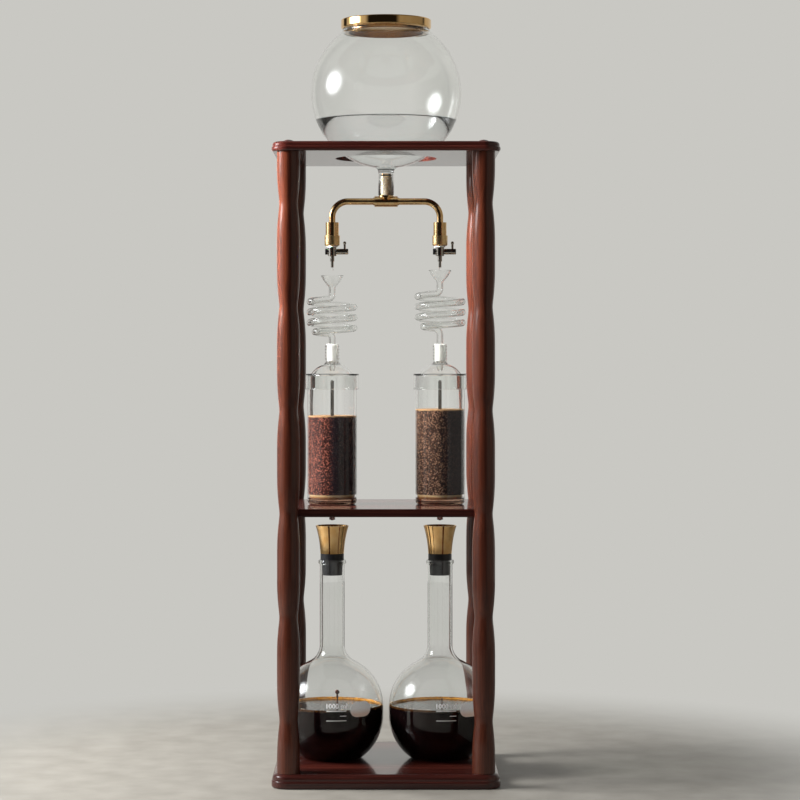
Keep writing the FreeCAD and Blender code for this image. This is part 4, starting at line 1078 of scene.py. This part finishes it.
def fired_enamel(name, low_tone, high_tone, low_z, high_z):
    """White enamel with painted shade: a little darker at its lower end, where less light
    comes through the glass.
    """
    material, tree, shader, where = new_material(name)
    pores = add(tree, "TexNoise", {"Vector": where, "Scale": 1 / (0.9 * MM), "Detail": 4.0})
    place = add(tree, "SeparateXYZ", {"Vector": where})
    height = add(tree, "MapRange", {"Value": place.outputs["Z"], "From Min": low_z * MM,
                                    "From Max": high_z * MM})
    # Pores and painted shade: the tone darkens towards the lower end.
    pores_and_painted_shade = add(tree, "Math", {0: pores.outputs["Fac"], 1: 0.25, 2: height.outputs["Result"]},
               operation="MULTIPLY_ADD")
    tone = add(tree, "ValToRGB", {"Fac": pores_and_painted_shade.outputs[0]},
               stops=((0.3, low_tone), (0.9, high_tone)))
    feed(tree, shader, Base_Color=tone.outputs["Color"], Roughness=0.35)
    return material


white_print = fired_enamel("white_enamel_print", "#F6F4F0", "#FFFFFF", 70, 95)
patch_enamel = fired_enamel("white_enamel_patch", "#F2DACA", "#FFFFFF", 79, 91)


def fire_on(piece, name, side, material, aside, z):
    """Stands a flat shape up, lays it on a flask and gives it the coat's thickness.

    The shape goes to a height, and to the right of the flask's axis."""
    flask = "flask_" + side
    piece.rotation_euler = (math.radians(90), 0, 0)
    piece.location = Vector((axis_of(flask) + aside, IN_FRONT, z)) * MM
    bpy.context.view_layer.objects.active = piece
    bpy.ops.object.transform_apply()
    wrap = piece.modifiers.new("wrap", "SHRINKWRAP")
    wrap.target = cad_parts[flask]
    wrap.wrap_method = "PROJECT"
    wrap.use_project_y = True
    wrap.use_positive_direction = True
    wrap.use_negative_direction = False
    apply_modifier(piece, wrap)
    coat = piece.modifiers.new("coat", "SOLIDIFY")
    coat.thickness = ENAMEL * MM
    coat.offset = 1.0
    apply_modifier(piece, coat)
    piece.name = name + "_" + side
    settle(piece, material, flask, 50)


print("Enamel:", white_print.name, patch_enamel.name)

# %% [markdown]
# ## The volume
# The number and its unit are a text object, made a mesh and scaled to the printed size. A small
# offset makes the strokes bolder, as screen printing does.

# %% Volume number
NUMBER_WIDTH = 26.0
NUMBER_HEIGHT = 5.8
NUMBER_Z = 92.2
NUMBER_BOLD = 0.024         # offset of the letters' outline, in text units

for side in SIDES:
    deselect()
    bpy.ops.object.text_add()
    number = bpy.context.object
    number.data.body = "1000 ml"
    number.data.align_x = "CENTER"
    number.data.align_y = "CENTER"
    number.data.offset = NUMBER_BOLD
    bpy.ops.object.convert(target="MESH")
    number = bpy.context.object
    width, height = number.dimensions.x, number.dimensions.y
    number.scale = (NUMBER_WIDTH * MM / width, NUMBER_HEIGHT * MM / height, 1)
    fire_on(number, "volume_number", side, white_print, PRINT_AT, NUMBER_Z)

# %% [markdown]
# ## Tick lines
# Each line is one strip of a grid, cut into enough squares along its length to bend with the glass.

# %% Tick lines
TICKS = (                   # right of the print's middle, height on the flask, width, thickness
    (0.0, 86.2, 25.0, 1.1), (8.5, 80.0, 8.0, 0.9), (0.0, 74.2, 25.0, 0.8))

for side in SIDES:
    for number, (aside, tick_z, width, height) in enumerate(TICKS, start=1):
        deselect()
        bpy.ops.mesh.primitive_grid_add(x_subdivisions=20, y_subdivisions=1, size=MM)
        tick = bpy.context.object
        tick.scale = (width, height, 1)
        fire_on(tick, "tick_line_%d" % number, side, white_print, PRINT_AT + aside, tick_z)

# %% [markdown]
# ## The patch to write on
# A square is scaled to the patch's size, its corners are rounded with a bevel, and a few insets
# give it rings of faces inside, so that it bends with the glass too.

# %% Patch
PATCH_AT = 36.5             # right of the flask's axis
PATCH_Z = 87.4
PATCH_WIDTH = 24.8
PATCH_HEIGHT = 19.0
PATCH_CORNER = 8.5
PATCH_RINGS = 6
PATCH_STEP = 1.35           # width of a ring

for side in SIDES:
    deselect()
    bpy.ops.mesh.primitive_plane_add(size=1)
    patch = bpy.context.object
    patch.scale = (PATCH_WIDTH * MM, PATCH_HEIGHT * MM, 1)
    bpy.ops.object.transform_apply()
    bpy.ops.object.mode_set(mode="EDIT")
    bpy.ops.mesh.select_all(action="SELECT")
    bpy.ops.mesh.bevel(offset=PATCH_CORNER * MM, segments=10, affect="VERTICES")
    for _ in range(PATCH_RINGS):
        bpy.ops.mesh.inset(thickness=PATCH_STEP * MM)
    bpy.ops.object.mode_set(mode="OBJECT")
    fire_on(patch, "marking_patch", side, patch_enamel, PATCH_AT, PATCH_Z)
